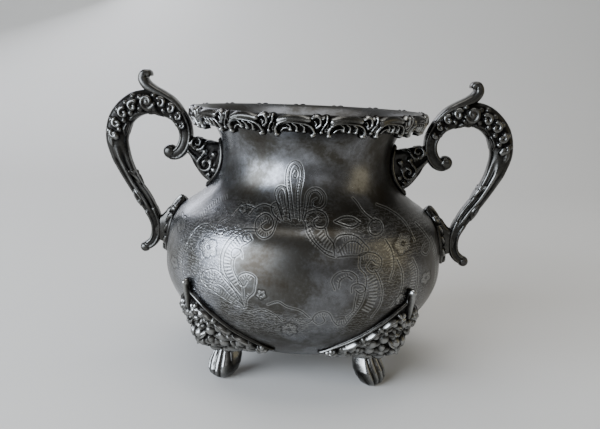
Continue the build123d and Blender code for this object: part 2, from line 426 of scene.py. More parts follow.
@dataclass(frozen=True)
class CastSilverPlate:
    """Silver plate over cast Britannia metal, cast in moulds and never polished out.

    Sulphide tarnish stays nearly black in the hollows and the high points are rubbed bright; the hollows
    also get painted shade and the high points a painted highlight. So the colour and the gloss follow the
    relief, which each piece carries as its "wear" values.
    """

    name: str
    # Colours up the relief: the hollows' black tarnish with painted shade, then the plate, then the rubbed
    # high points with a painted highlight.
    hollow: str = "141312"
    middle: str = "474643"
    high: str = "8c8c8a"
    roughness: float = 0.21
    blotch_mm: float = 7.0
    blotch_share: float = 0.55
    pit_mm: float = 0.7
    pit_share: float = 0.30

    def material(self) -> bpy.types.Material:
        """Build the node tree.

        Returns:
            The material.
        """
        material, tree, place = new_material(self.name)
        wear = add_node(tree, "ShaderNodeAttribute", {"attribute_name": "wear"}).outputs["Fac"]
        blotch = add_node(tree, "ShaderNodeTexNoise", {"Scale": 1 / (self.blotch_mm * MM), "Detail": 4.0,
                                                       "Roughness": 0.6}, {"Vector": place})
        pits = add_node(tree, "ShaderNodeTexNoise", {"Scale": 1 / (self.pit_mm * MM), "Detail": 3.0},
                        {"Vector": place})
        drift, speck = (
            add_node(tree, "ShaderNodeMath", {"operation": "MULTIPLY_ADD", 1: share, 2: -0.5 * share},
                     {0: noise.outputs["Fac"]})
            for noise, share in ((blotch, self.blotch_share), (pits, self.pit_share)))
        level = add_node(tree, "ShaderNodeMath", {"operation": "ADD"}, {0: wear, 1: drift.outputs[0]})
        level = add_node(tree, "ShaderNodeMath", {"operation": "ADD", "use_clamp": True},
                         {0: level.outputs[0], 1: speck.outputs[0]})
        colour = ramp(tree, level.outputs[0], [(0.12, linear(self.hollow)), (0.5, linear(self.middle)),
                                               (0.92, linear(self.high))])
        gloss = add_node(tree, "ShaderNodeMapRange", {"To Min": self.roughness + 0.14,
                                                      "To Max": self.roughness - 0.06},
                         {"Value": level.outputs[0]})
        grain = add_node(tree, "ShaderNodeBump", {"Strength": 0.25, "Distance": 0.06 * MM},
                         {"Height": pits.outputs["Fac"]})
        shader = add_node(tree, "ShaderNodeBsdfPrincipled", {"Metallic": 1.0},
                          {"Base Color": colour, "Roughness": gloss.outputs[0], "Normal": grain.outputs[0]})
        add_node(tree, "ShaderNodeOutputMaterial", links={"Surface": shader.outputs[0]})
        return material


@dataclass(frozen=True)
class SpunSilverPlate:
    """Silver plate over spun Britannia metal, hand engraved, with years of uneven tarnish.

    The tarnish is a soft brownish grey in clouds and the plate is scratched by cleaning cloths round the
    bowl. The graver's cuts get a painted highlight on their lips and painted shade at the bottom.
    """

    name: str
    clean: str = "818388"
    tarnish: str = "4b4a47"
    brown: str = "38342e"
    # Painted shade on the side towards the right handle: a dark yellowish brown mixed in along X, for the
    # dark brown room that this side reflects.
    right_shade_olive: str = "2a2314"
    right_shade_share: float = 0.74
    right_shade_from_mm: float = -10.0
    right_shade_to_mm: float = 55.0
    # Painted shade over the inside of the bowl, where its own wall shades it.
    inside: str = "232220"
    # Painted highlight on the furrows' lips and painted shade in their bottoms.
    lip_highlight: str = "b9bab8"
    furrow_shade: str = "181715"
    roughness: float = 0.30
    cloud_mm: float = 26.0
    wriggle_mm: float = 1.15
    scratch_mm: float = 0.35
    scratch_stretch: float = 9.0
    speckle_mm: float = 1.6
    lip_gleam: float = 0.42
    ground_gleam: float = 0.30
    engraved: bool = True

    def material(self) -> bpy.types.Material:
        """Build the node tree.

        Returns:
            The material.
        """
        material, tree, place = new_material(self.name)
        cloud = add_node(tree, "ShaderNodeTexNoise", {
            "Scale": 1 / (self.cloud_mm * MM), "Detail": 5.0, "Roughness": 0.58, "Distortion": 0.4},
            {"Vector": place})
        speckle = add_node(tree, "ShaderNodeTexNoise", {
            "Scale": 1 / (self.speckle_mm * MM), "Detail": 4.0, "Roughness": 0.7}, {"Vector": place})
        rubbed = add_node(tree, "ShaderNodeMapping", {"Scale": (1.0, 1.0, self.scratch_stretch)},
                          {"Vector": place})
        scratch = add_node(tree, "ShaderNodeTexNoise", {
            "Scale": 1 / (self.scratch_stretch * self.scratch_mm * MM), "Detail": 3.0, "Roughness": 0.65},
            {"Vector": rubbed.outputs[0]})
        mixed = add_node(tree, "ShaderNodeMath", {"operation": "MULTIPLY_ADD", 1: 0.25},
                         {0: speckle.outputs["Fac"], 2: cloud.outputs["Fac"]})
        colour = ramp(tree, mixed.outputs[0], [(0.44, linear(self.brown)), (0.58, linear(self.tarnish)),
                                               (0.78, linear(self.clean))])
        gloss = add_node(tree, "ShaderNodeMapRange", {"From Min": 0.4, "From Max": 0.8,
                                                      "To Min": self.roughness + 0.10,
                                                      "To Max": self.roughness - 0.06},
                         {"Value": mixed.outputs[0]})
        normal = add_node(tree, "ShaderNodeBump", {"Strength": 0.18, "Distance": 0.05 * MM},
                          {"Height": scratch.outputs["Fac"]}).outputs[0]
        if self.engraved:
            colour = self.uneven(tree, place, colour)
            colour, normal = self.engraving(tree, place, colour, normal)
        shader = add_node(tree, "ShaderNodeBsdfPrincipled", {"Metallic": 1.0},
                          {"Base Color": colour, "Roughness": gloss.outputs[0], "Normal": normal})
        add_node(tree, "ShaderNodeOutputMaterial", links={"Surface": shader.outputs[0]})
        return material

    def uneven(self, tree: bpy.types.NodeTree, place: bpy.types.NodeSocket, colour: bpy.types.NodeSocket
               ) -> bpy.types.NodeSocket:
        """Paint shade: a dark yellowish brown that grows towards the right handle, for the dark brown room
        that side reflects, and a darker inside, where the bowl's own wall shades it.

        Args:
            tree: The material's node tree.
            place: Object coordinates.
            colour: The plate's colour so far.

        Returns:
            The new colour.
        """
        where = add_node(tree, "ShaderNodeSeparateXYZ", links={0: place})
        # Painted shade towards the right handle.
        right = add_node(tree, "ShaderNodeMapRange", {"From Min": self.right_shade_from_mm * MM,
                                                      "From Max": self.right_shade_to_mm * MM,
                                                      "To Min": 0.0, "To Max": self.right_shade_share},
                         {"Value": where.outputs["X"]})
        colour = add_node(tree, "ShaderNodeMix", {"data_type": "RGBA", 7: linear(self.right_shade_olive)},
                          {0: right.outputs[0], 6: colour}).outputs[2]
        # Painted shade over the inside.
        inside = add_node(tree, "ShaderNodeAttribute", {"attribute_name": "inside"}).outputs["Fac"]
        inside_shade = add_node(tree, "ShaderNodeMath", {"operation": "MULTIPLY", 1: 0.5}, {0: inside})
        return add_node(tree, "ShaderNodeMix", {"data_type": "RGBA", 7: linear(self.inside)},
                        {0: inside_shade.outputs[0], 6: colour}).outputs[2]

    def engraving(self, tree: bpy.types.NodeTree, place: bpy.types.NodeSocket, colour: bpy.types.NodeSocket,
                  normal: bpy.types.NodeSocket) -> tuple[bpy.types.NodeSocket, bpy.types.NodeSocket]:
        """Paint a highlight on the furrows' lips and shade in their bottoms, and lay wriggle work over the
        ground, its threads with a painted glint.

        The wriggle work is wavy bands as far apart as the graver's zigzag. Real zigzags are finer than
        these, which are as coarse as they have to be to show.

        Args:
            tree: The material's node tree.
            place: Object coordinates.
            colour: The plate's colour so far.
            normal: The plate's normal so far.

        Returns:
            The new colour and the new normal.
        """
        cut, lip, ground = (add_node(tree, "ShaderNodeAttribute", {"attribute_name": name}).outputs["Fac"]
                            for name in ("cut", "lip", "ground"))
        wriggle = add_node(tree, "ShaderNodeTexWave", {
            "wave_type": "BANDS", "bands_direction": "Z", "Scale": 0.314 / (self.wriggle_mm * MM),
            "Distortion": 7.0, "Detail": 1.0, "Detail Scale": 2.6}, {"Vector": place})
        thread = add_node(tree, "ShaderNodeMapRange", {"From Min": 0.55, "From Max": 0.95},
                          {"Value": wriggle.outputs["Fac"]})
        stipple = add_node(tree, "ShaderNodeMath", {"operation": "MULTIPLY"},
                           {0: thread.outputs[0], 1: ground})
        lit = add_node(tree, "ShaderNodeMath", {"operation": "MULTIPLY", 1: self.lip_gleam}, {0: lip})
        lit = add_node(tree, "ShaderNodeMath", {
            "operation": "MULTIPLY_ADD", 1: self.ground_gleam, "use_clamp": True},
            {0: stipple.outputs[0], 2: lit.outputs[0]})
        bright = add_node(tree, "ShaderNodeMix", {"data_type": "RGBA", 7: linear(self.lip_highlight)},
                          {0: lit.outputs[0], 6: colour})
        deep = add_node(tree, "ShaderNodeMath", {"operation": "MULTIPLY", 1: 0.8}, {0: cut})
        dark = add_node(tree, "ShaderNodeMix", {"data_type": "RGBA", 7: linear(self.furrow_shade)},
                        {0: deep.outputs[0], 6: bright.outputs[2]})
        sunk = add_node(tree, "ShaderNodeBump", {"Strength": 0.6, "Distance": 0.09 * MM, "invert": True},
                        {"Height": stipple.outputs[0], "Normal": normal})
        return dark.outputs[2], sunk.outputs[0]


def cavity(height: np.ndarray, steps: int = 7) -> np.ndarray:
    """Measure how far each place stands above the mean of its surroundings, a square blur made twice.

    Args:
        height: The relief, in millimetres.
        steps: How far the blur reaches each way, in grid steps.

    Returns:
        The height above the local mean, in millimetres.
    """
    mean = height
    for _ in range(2):
        for axis in (0, 1):
            padded = np.concatenate([np.repeat(np.take(mean, [0], axis), steps, axis), mean,
                                     np.repeat(np.take(mean, [-1], axis), steps, axis)], axis)
            total = np.cumsum(padded, axis=axis)
            total = np.concatenate([np.zeros_like(np.take(total, [0], axis)), total], axis)
            count = mean.shape[axis]
            high = np.take(total, np.arange(count) + 2 * steps + 1, axis)
            low = np.take(total, np.arange(count), axis)
            mean = (high - low) / (2 * steps + 1)
    return height - mean


def wear_and_shade_marks(height: np.ndarray, level: float = 0.40, contrast: float = 0.75) -> dict[str, np.ndarray]:
    """The marks of a cast relief: rubbed and given a painted highlight above its surroundings, tarnished
    and given painted shade in its hollows.
    """
    return {"wear": np.clip(level + contrast * cavity(height), 0, 1)}


# ------------------------------------------------------------------ the spun body


@dataclass
class WallProfile:
    """The outer wall as four Bezier spans between its turning points, given as radius and height."""

    base: tuple[float, float] = (31.7, 12.0)
    belly: tuple[float, float] = (62.5, 46.0)
    shoulder: tuple[float, float] = (50.0, 74.0)
    neck: tuple[float, float] = (37.7, 94.0)
    lip: tuple[float, float] = (50.6, 113.6)
    base_slope: float = 6.0
    shoulder_slope: float = 36.0
    lip_slope: float = 26.0
    samples: int = 400

    def __post_init__(self) -> None:
        """Sample the wall finely once: radius, height, length along it and outward normal."""
        base, belly, shoulder, neck, lip = (
            np.array(p) for p in (self.base, self.belly, self.shoulder, self.neck, self.lip))
        up = np.array([0.0, 1.0])
        base_out = self.heading(self.base_slope)
        lip_out = self.heading(self.lip_slope)
        inward = self.heading(self.shoulder_slope) * np.array([-1.0, 1.0])
        lower = belly[1] - base[1]
        upper = shoulder[1] - belly[1]
        run = neck[1] - shoulder[1]
        flare = lip[1] - neck[1]
        spans = [
            (base, base + 0.32 * lower * base_out, belly - 0.45 * lower * up, belly),
            (belly, belly + 0.81 * upper * up, shoulder - 0.20 * upper * inward, shoulder),
            (shoulder, shoulder + 0.34 * run * inward, neck - 0.58 * run * up, neck),
            (neck, neck + 0.44 * flare * up, lip - 0.41 * flare * lip_out, lip),
        ]
        t = np.linspace(0, 1, self.samples)[:, None]
        dense = np.vstack([
            (1 - t)**3 * a + 3 * t * (1 - t)**2 * b + 3 * t**2 * (1 - t) * c + t**3 * d
            for a, b, c, d in spans])
        keep = np.concatenate([[True], np.linalg.norm(np.diff(dense, axis=0), axis=1) > 1e-6])
        self.line = dense[keep]
        steps = np.linalg.norm(np.diff(self.line, axis=0), axis=1)
        self.travelled = np.concatenate([[0.0], np.cumsum(steps)])
        tangent = np.gradient(self.line, self.travelled, axis=0)
        tangent /= np.linalg.norm(tangent, axis=1)[:, None]
        self.normal = np.stack([tangent[:, 1], -tangent[:, 0]], axis=1)

    @staticmethod
    def heading(degrees: float) -> np.ndarray:
        """A unit step outwards and up at an angle from level."""
        return np.array([math.cos(math.radians(degrees)), math.sin(math.radians(degrees))])

    def along(self, travelled: np.ndarray) -> tuple[np.ndarray, np.ndarray, np.ndarray, np.ndarray]:
        """Radius, height and the normal's two parts at lengths along the wall."""
        return tuple(np.interp(travelled, self.travelled, column) for column in (
            self.line[:, 0], self.line[:, 1], self.normal[:, 0], self.normal[:, 1]))

    def at_height(self, z: np.ndarray) -> tuple[np.ndarray, np.ndarray, np.ndarray]:
        """Radius and the normal's two parts at heights."""
        return tuple(np.interp(z, self.line[:, 1], column) for column in (
            self.line[:, 0], self.normal[:, 0], self.normal[:, 1]))

    def on_wall(self, azimuth: np.ndarray, z: np.ndarray, lift: np.ndarray, reach: np.ndarray | float = 0.0
                ) -> np.ndarray:
        """Find points off the wall.

        Args:
            azimuth: Angles round the axis.
            z: Heights on the wall.
            lift: Millimetres along the wall's normal.
            reach: Millimetres more, straight out from the axis.

        Returns:
            The points.
        """
        radius, across, up = self.at_height(z)
        out = radius + lift * across + reach
        return around(out, azimuth, z + lift * up)


@dataclass
class Engraving:
    """The graver's work, drawn on the plane seen from the front (X and height) and carried onto the wall.

    cut is how deep into a furrow a place lies, lip how close to a furrow's edge, and ground how much fine
    wriggle work covers it, all from 0 to 1. The material paints shade by cut, and a highlight by lip and
    by the wriggle work's threads.
    """

    x: np.ndarray
    z: np.ndarray

    def __post_init__(self) -> None:
        """Start with a plain surface."""
        self.cut = np.zeros(self.x.shape)
        self.lip = np.zeros(self.x.shape)
        self.ground = np.zeros(self.x.shape)

    def furrow(self, points: np.ndarray, width: float = 0.44) -> None:
        """Cut a line: deepest along the line, with a lip beside it for a painted highlight.

        Args:
            points: The line.
            width: The width of the cut.
        """
        distance, _ = line_distance(self.x, self.z, points, 2.2 * width)
        self.cut = np.maximum(self.cut, np.clip(1.15 - distance / (0.5 * width), 0, 1))
        self.lip = np.maximum(self.lip, np.exp(-((distance - 0.8 * width) / (0.35 * width)) ** 2))

    def ticks(self, points: list[tuple[float, float]], width: float, spacing: float) -> None:
        """Cut a row of short strokes square across a line.

        Args:
            points: The line that they stand on.
            width: The length of the strokes.
            spacing: The step from one to the next.
        """
        line = smooth_line(points, max(12, 6 * len(points)))
        distance, share = line_distance(self.x, self.z, line, width)
        length = np.linalg.norm(np.diff(line, axis=0), axis=1).sum()
        beat = np.abs(np.sin(math.pi * share * length / spacing))
        inside = (distance < 0.5 * width) & (share > 0.01) & (share < 0.99)
        self.lip = np.maximum(self.lip, np.where(inside, np.clip(beat * 2.2 - 1.3, 0, 1), 0))
        self.cut = np.maximum(self.cut, np.where(inside, np.clip(0.8 - 2.6 * beat, 0, 1), 0))

    def petals(self, centre: tuple[float, float], radius: float, count: int) -> None:
        """Cut a flower: an outline with lobes, fine veins inside each for a painted highlight, and a bright
        heart.

        Args:
            centre: Its middle.
            radius: The reach of its petals.
            count: How many petals.
        """
        dx = self.x - centre[0]
        dz = self.z - centre[1]
        distance = np.hypot(dx, dz)
        angle = np.arctan2(dz, dx) + 0.13 * radius
        lobe = np.abs(np.cos(0.5 * count * angle))
        edge = np.abs(distance - radius * (0.72 + 0.28 * lobe))
        self.cut = np.maximum(self.cut, np.clip(1 - edge / 0.3, 0, 1))
        veins = np.abs(np.cos(2.5 * count * angle + 2.0 * distance / radius))
        inside = (distance < 0.8 * radius * (0.72 + 0.28 * lobe)) & (distance > 0.2 * radius)
        self.lip = np.maximum(self.lip, np.where(inside, np.clip(2.4 * veins - 1.3, 0, 1), 0))
        heart = np.abs(distance - 0.16 * radius)
        self.cut = np.maximum(self.cut, np.clip(1 - heart / 0.25, 0, 1))

    def shade(self, centre: tuple[float, float], radius: tuple[float, float], strength: float) -> None:
        """Cover an oval patch with fine wriggle work that fades out at its edge."""
        distance = np.hypot((self.x - centre[0]) / radius[0], (self.z - centre[1]) / radius[1])
        self.ground = np.maximum(self.ground, strength * np.clip(2.2 * (1 - distance), 0, 1))

    def shield(self) -> None:
        """Cut the whole design: a plain shield, framed by scrolls, with sprays to each side."""
        for centre, radius, strength in SHADED_PATCHES:
            self.shade(centre, radius, strength)
        clear = np.hypot((self.x + 2.0) / 17.5, (self.z - 54.5) / 13.5)
        self.ground *= np.clip(5 * (clear - 1), 0, 1)
        for points, width, spacing in TICKS:
            self.ticks(points, width, spacing)
        for points in FURROWS:
            self.furrow(smooth_line(points, 7 * len(points)))
        for centre, radius, count in FLOWERS:
            self.petals(centre, radius, count)
        self.lip *= 1 - self.cut


# The engraver's plan, in millimetres right of the middle of the front and above the table.
# Patches of wriggle work: middle, half width and half height, strength.
SHADED_PATCHES = [
    ((-42, 52), (15, 26), 1), ((-26, 35), (20, 11), 1), ((-6, 36), (17, 9), 1),
    ((-32, 70), (14, 8), 0.8), ((0, 76), (13, 5), 0.7), ((34, 56), (15, 16), 0.6),
    ((44, 44), (13, 16), 0.6), ((30, 72), (18, 7), 0.6), ((46, 66), (13, 9), 0.8),
    ((22, 36), (12, 8), 0.6), ((-22, 75), (10, 5), 0.7),
]
# Rows of short cross strokes: the line they stand on, their length, the spacing.
TICKS = [
    # the frame's left side and its curls
    ([(-18, 69), (-21.5, 67.6), (-24.6, 65), (-27, 61.5), (-27.6, 57), (-26, 52.6),
      (-23, 48.6)], 2.6, 1.3),
    ([(-36, 51), (-32, 51.2), (-27.5, 47.5), (-23, 43)], 2.6, 1.1),
    ([(-34, 46), (-29.5, 45.2), (-25, 43)], 1.6, 1),
    ([(-17.4, 52.4), (-19.5, 53.4), (-21.6, 52)], 1.3, 0.9),
    ([(-18.2, 47), (-19.4, 44), (-20.2, 42)], 1.2, 0.9),
    ([(-16, 72.4), (-14, 73.6), (-11.8, 73.2)], 1.5, 0.8),
    ([(-16.2, 70.6), (-14, 69), (-11.6, 69.4)], 1.2, 0.9),
    # the finial over the shield
    ([(-6.2, 90), (-5.2, 84), (-4.4, 78)], 1.3, 1.1), ([(-1, 90), (-1.8, 84), (-1.6, 78)], 1, 1.1),
    ([(-9.8, 82.6), (-8.2, 79), (-6.6, 76.4)], 1.3, 1),
    ([(2.4, 82.6), (5.4, 84.2), (8, 81.6)], 1.1, 0.9), ([(1.2, 80), (1, 77)], 1, 0.9),
    ([(-10.8, 78), (-9.6, 76.2)], 1.2, 0.8),
    # the frame's right side
    ([(2.4, 73.4), (4.4, 69), (8, 66), (12.2, 63.6)], 2.4, 1.2),
    ([(7, 71), (9.6, 68.2), (12.6, 65.6)], 2.4, 1.2),
    ([(14.6, 64), (18.2, 65.6), (22, 65.6), (25, 64.8)], 4, 1.1),
    ([(16, 68.2), (20.4, 68.6), (23.8, 66.4)], 1.4, 0.9),
    ([(24, 62), (27, 61.8), (29.8, 60), (29.4, 57.8)], 1.7, 0.9),
    ([(27.2, 55), (28.8, 51), (28.6, 45), (26, 40.4)], 3.4, 1.3),
    ([(14.6, 52.6), (16.4, 55), (19.2, 56)], 1.4, 0.9),
    ([(23.4, 50.6), (24.4, 46.4), (22.6, 42), (20.4, 38.6)], 1.5, 1),
    ([(7.6, 39.6), (9.8, 40.4), (12.2, 39.4)], 1.3, 0.8),
    ([(14.6, 36.8), (17.2, 36.6), (20, 37.4)], 2, 0.9),
    # the sprays on the sides
    ([(-47, 60), (-49.4, 54), (-49, 47)], 2.4, 1.1), ([(44, 58), (46, 52), (45, 45)], 2.4, 1.1),
    ([(33, 66), (36, 62), (36.4, 57)], 1.8, 1), ([(-56, 62), (-58.6, 52), (-57.6, 42)], 2.4, 1.1),
    ([(56, 60), (58.6, 51), (57.6, 42)], 2.4, 1.1), ([(-31, 79), (-37, 75.4), (-42, 70)], 1.8, 1),
]
# Furrows: the lines they follow.
FURROWS = [
    # the finial: a tall lobe, a lobe and a bud to its left, a curl to its right
    [(-4, 74), (-6, 81.5), (-7, 89), (-6, 93.5), (-3.5, 95.5), (-1, 94), (0, 89.5), (-1, 82),
     (-0.5, 74)],
    [(-3, 75), (-4.5, 82.5), (-5.6, 89), (-5, 92.5), (-3.5, 94), (-2, 92.5), (-1.6, 89.5),
     (-2.4, 82.5), (-2, 75)],
    [(-4.6, 90.5), (-3.5, 92.2), (-2.5, 90.5), (-3, 88.8), (-4, 89.5)],
    [(-7, 74), (-9.5, 78.5), (-11, 82), (-10.5, 84.5), (-8.5, 85.5), (-6.5, 84.5), (-5.5, 80.5),
     (-4.5, 74.5)],
    [(-7, 75.5), (-8.5, 79), (-9.5, 82), (-8.5, 84), (-7.5, 83), (-6.5, 78.5)],
    [(-8, 73.5), (-11, 75.5), (-12, 78), (-10.5, 79.2), (-9, 78.5), (-7.5, 75.5)],
    [(0.5, 74.5), (1, 79), (1.5, 83), (3.5, 85), (6.5, 85), (9, 82.5), (9, 79.5), (7, 78), (4.5, 78.5),
     (4, 80.5), (5.5, 81.5)],
    [(1.5, 75), (2.2, 79.5), (3, 83), (5.5, 84), (7.5, 82), (7, 80)],
    # the frame's left side: a scroll, the long band, three curls inside it and the tail
    [(-9, 75.5), (-9.5, 72.5), (-11, 69), (-14, 67.8), (-17, 69.5), (-17.4, 73), (-14.5, 75.4),
     (-11.5, 74.5), (-10.5, 72), (-13, 70.2), (-15.2, 71.5), (-13.5, 73)],
    [(-16.5, 70.5), (-22, 70), (-26.5, 67), (-29.5, 62.5), (-30.5, 57.5), (-29.5, 52), (-26, 48.5),
     (-22, 45), (-20.5, 41.5)],
    [(-17.5, 69.5), (-21.5, 69), (-25.2, 66.4), (-28.2, 62.2), (-29.2, 57.5), (-28.2, 53), (-25, 49.5),
     (-21.4, 46)],
    [(-18, 67), (-20, 65.5), (-22, 64), (-22.5, 61.5), (-24.5, 59.5), (-25, 56), (-23.5, 52.5),
     (-21, 49.5), (-20.5, 44.5)],
    [(-18, 67), (-19.5, 68.6), (-21.6, 68), (-21.6, 66.4), (-20, 66)],
    [(-21.5, 60), (-22, 62.5), (-24.5, 63.2), (-26, 61.5), (-25.5, 59.5), (-24, 60)],
    [(-16, 50), (-16, 53.5), (-19.5, 54.7), (-22.6, 53), (-22.5, 50.5), (-20.5, 49.5), (-19.2, 51.5)],
    [(-19.5, 41), (-19, 44.5), (-16.5, 47.5), (-16, 50)],
    [(-20, 40.5), (-24, 46.5), (-27.5, 51), (-32, 53.6), (-36.5, 52.6), (-38.6, 50), (-37.5, 47),
     (-34.5, 47), (-32.5, 50)],
    [(-20.5, 40.5), (-25.5, 42), (-30.5, 44), (-35, 45.8), (-37.5, 47)],
    [(-20.5, 42), (-25.5, 45), (-29.5, 48), (-32.5, 48.2)],
    # the frame's right side: a scroll, a tongue, a leaf, three curls and the long tails
    [(1, 74), (2, 76.5), (5.5, 77.5), (9, 76.5), (10.2, 74), (9, 72.2), (6, 72.2), (5, 74),
     (6.5, 75.2)],
    [(1.5, 74), (3, 70), (6.5, 66.5), (10.5, 63.5), (13.5, 62.5)],
    [(9.5, 72), (10.5, 69.5), (12.5, 67.5), (13.5, 65.5)],
    [(3.5, 71.5), (5.5, 68.5), (9, 65.5), (12.5, 64)],
    [(13.5, 63), (13, 67.5), (15.5, 69.8), (21, 69.5), (25, 66.5), (26.4, 64.4), (23.5, 62.8),
     (19, 62.8), (14.5, 62.5)],
    [(14.5, 64), (18, 67.3), (21.5, 67.5), (24, 65.5)],
    [(22.5, 63), (25, 63.7), (29, 63), (31.6, 60.5), (30.8, 57), (28, 56.2), (25.8, 58.5),
     (27.5, 60.8), (29.2, 59.5)],
    [(23, 62.5), (23, 58.5), (25.5, 55.5), (26, 51), (25, 45.5), (23, 41.5), (20.5, 38)],
    [(29, 57), (31, 53.5), (32.5, 48.5), (32, 43), (29, 37.5)],
    [(14, 50.5), (12.8, 54), (15, 56.7), (19, 57.2), (22, 55.4), (22.7, 52.5)],
    [(15.5, 51), (16, 54), (18.5, 55.3), (20.5, 54)],
    [(20.5, 49), (20.5, 51.5), (22.5, 52.4), (25, 51.4), (25.7, 49.5), (23.8, 48.6), (22, 50)],
    [(22.5, 49), (22, 45.5), (21.5, 41.5), (19, 39)],
    [(14, 37.5), (12.5, 40.7), (10, 41.7), (7.3, 40.5), (6.3, 38), (8.5, 35.8), (10.8, 37.3),
     (10, 39.5)],
    [(14, 37.5), (16, 35), (18.5, 35), (20.5, 38)],
    # light sprays round the shoulder
    [(20, 81.5), (22, 79.5), (24, 77), (26.5, 75), (29, 73.5)],
    [(28.5, 74), (26.5, 72.5), (27, 70), (29.5, 69.2), (32, 70.5), (31.5, 73), (29, 74)],
    [(13, 74), (16.5, 75.2), (20, 75), (23, 73.5)], [(13, 74), (17, 72.8), (20, 72.3), (23, 73.5)],
    [(-18, 76.5), (-22, 77.2), (-25.5, 75.4), (-27.5, 73)],
    [(-11, 77.5), (-15, 78.2), (-18.5, 76.7), (-20.5, 74.5)],
    [(-30.5, 72), (-32.5, 70.5), (-33.5, 68), (-31, 66.8), (-29, 69)],
    [(30, 78.6), (36, 76), (42, 71.6), (46, 65)], [(33, 67.6), (35.6, 63.6), (36.8, 58), (35.4, 52)],
    [(47, 70.6), (50.6, 67), (54, 62), (52, 58.6), (49.4, 60.4), (50.6, 63)],
    [(-33, 66.8), (-37.6, 69), (-42.6, 66.2), (-46.6, 58.6), (-48.4, 50), (-46, 43)],
    [(45, 59), (47.6, 53), (47.2, 45), (43, 38)], [(38, 60), (40.6, 54), (40.4, 47), (36.6, 41)],
    [(-54.6, 64), (-58, 55), (-58.6, 46), (-56, 39)], [(54.6, 64), (58, 55), (58.6, 46), (56, 39)],
    # loose wavy lines across the ground below the shield
    [(-11, 43.5), (-7, 45), (-3.5, 43.3), (1.5, 42), (5, 39)],
    [(-18, 39), (-13, 41.2), (-8, 39.3), (-5.5, 37)], [(0.5, 37.5), (4, 36.3), (6.5, 38.5)],
]
# Flowers: the middle, the radius, the petals.
FLOWERS = [
    ((-2.6, 32.8), 3.6, 6), ((-36.2, 61.4), 4.4, 5), ((40.6, 65.2), 4.4, 5), ((-13.5, 47), 2.2, 5),
    ((-23.6, 76), 1.8, 5), ((-51, 66), 3.4, 5), ((52, 49), 3, 5), ((-42, 41), 3, 6),
    ((-53, 50), 2.8, 5), ((41, 43), 3, 6),
]


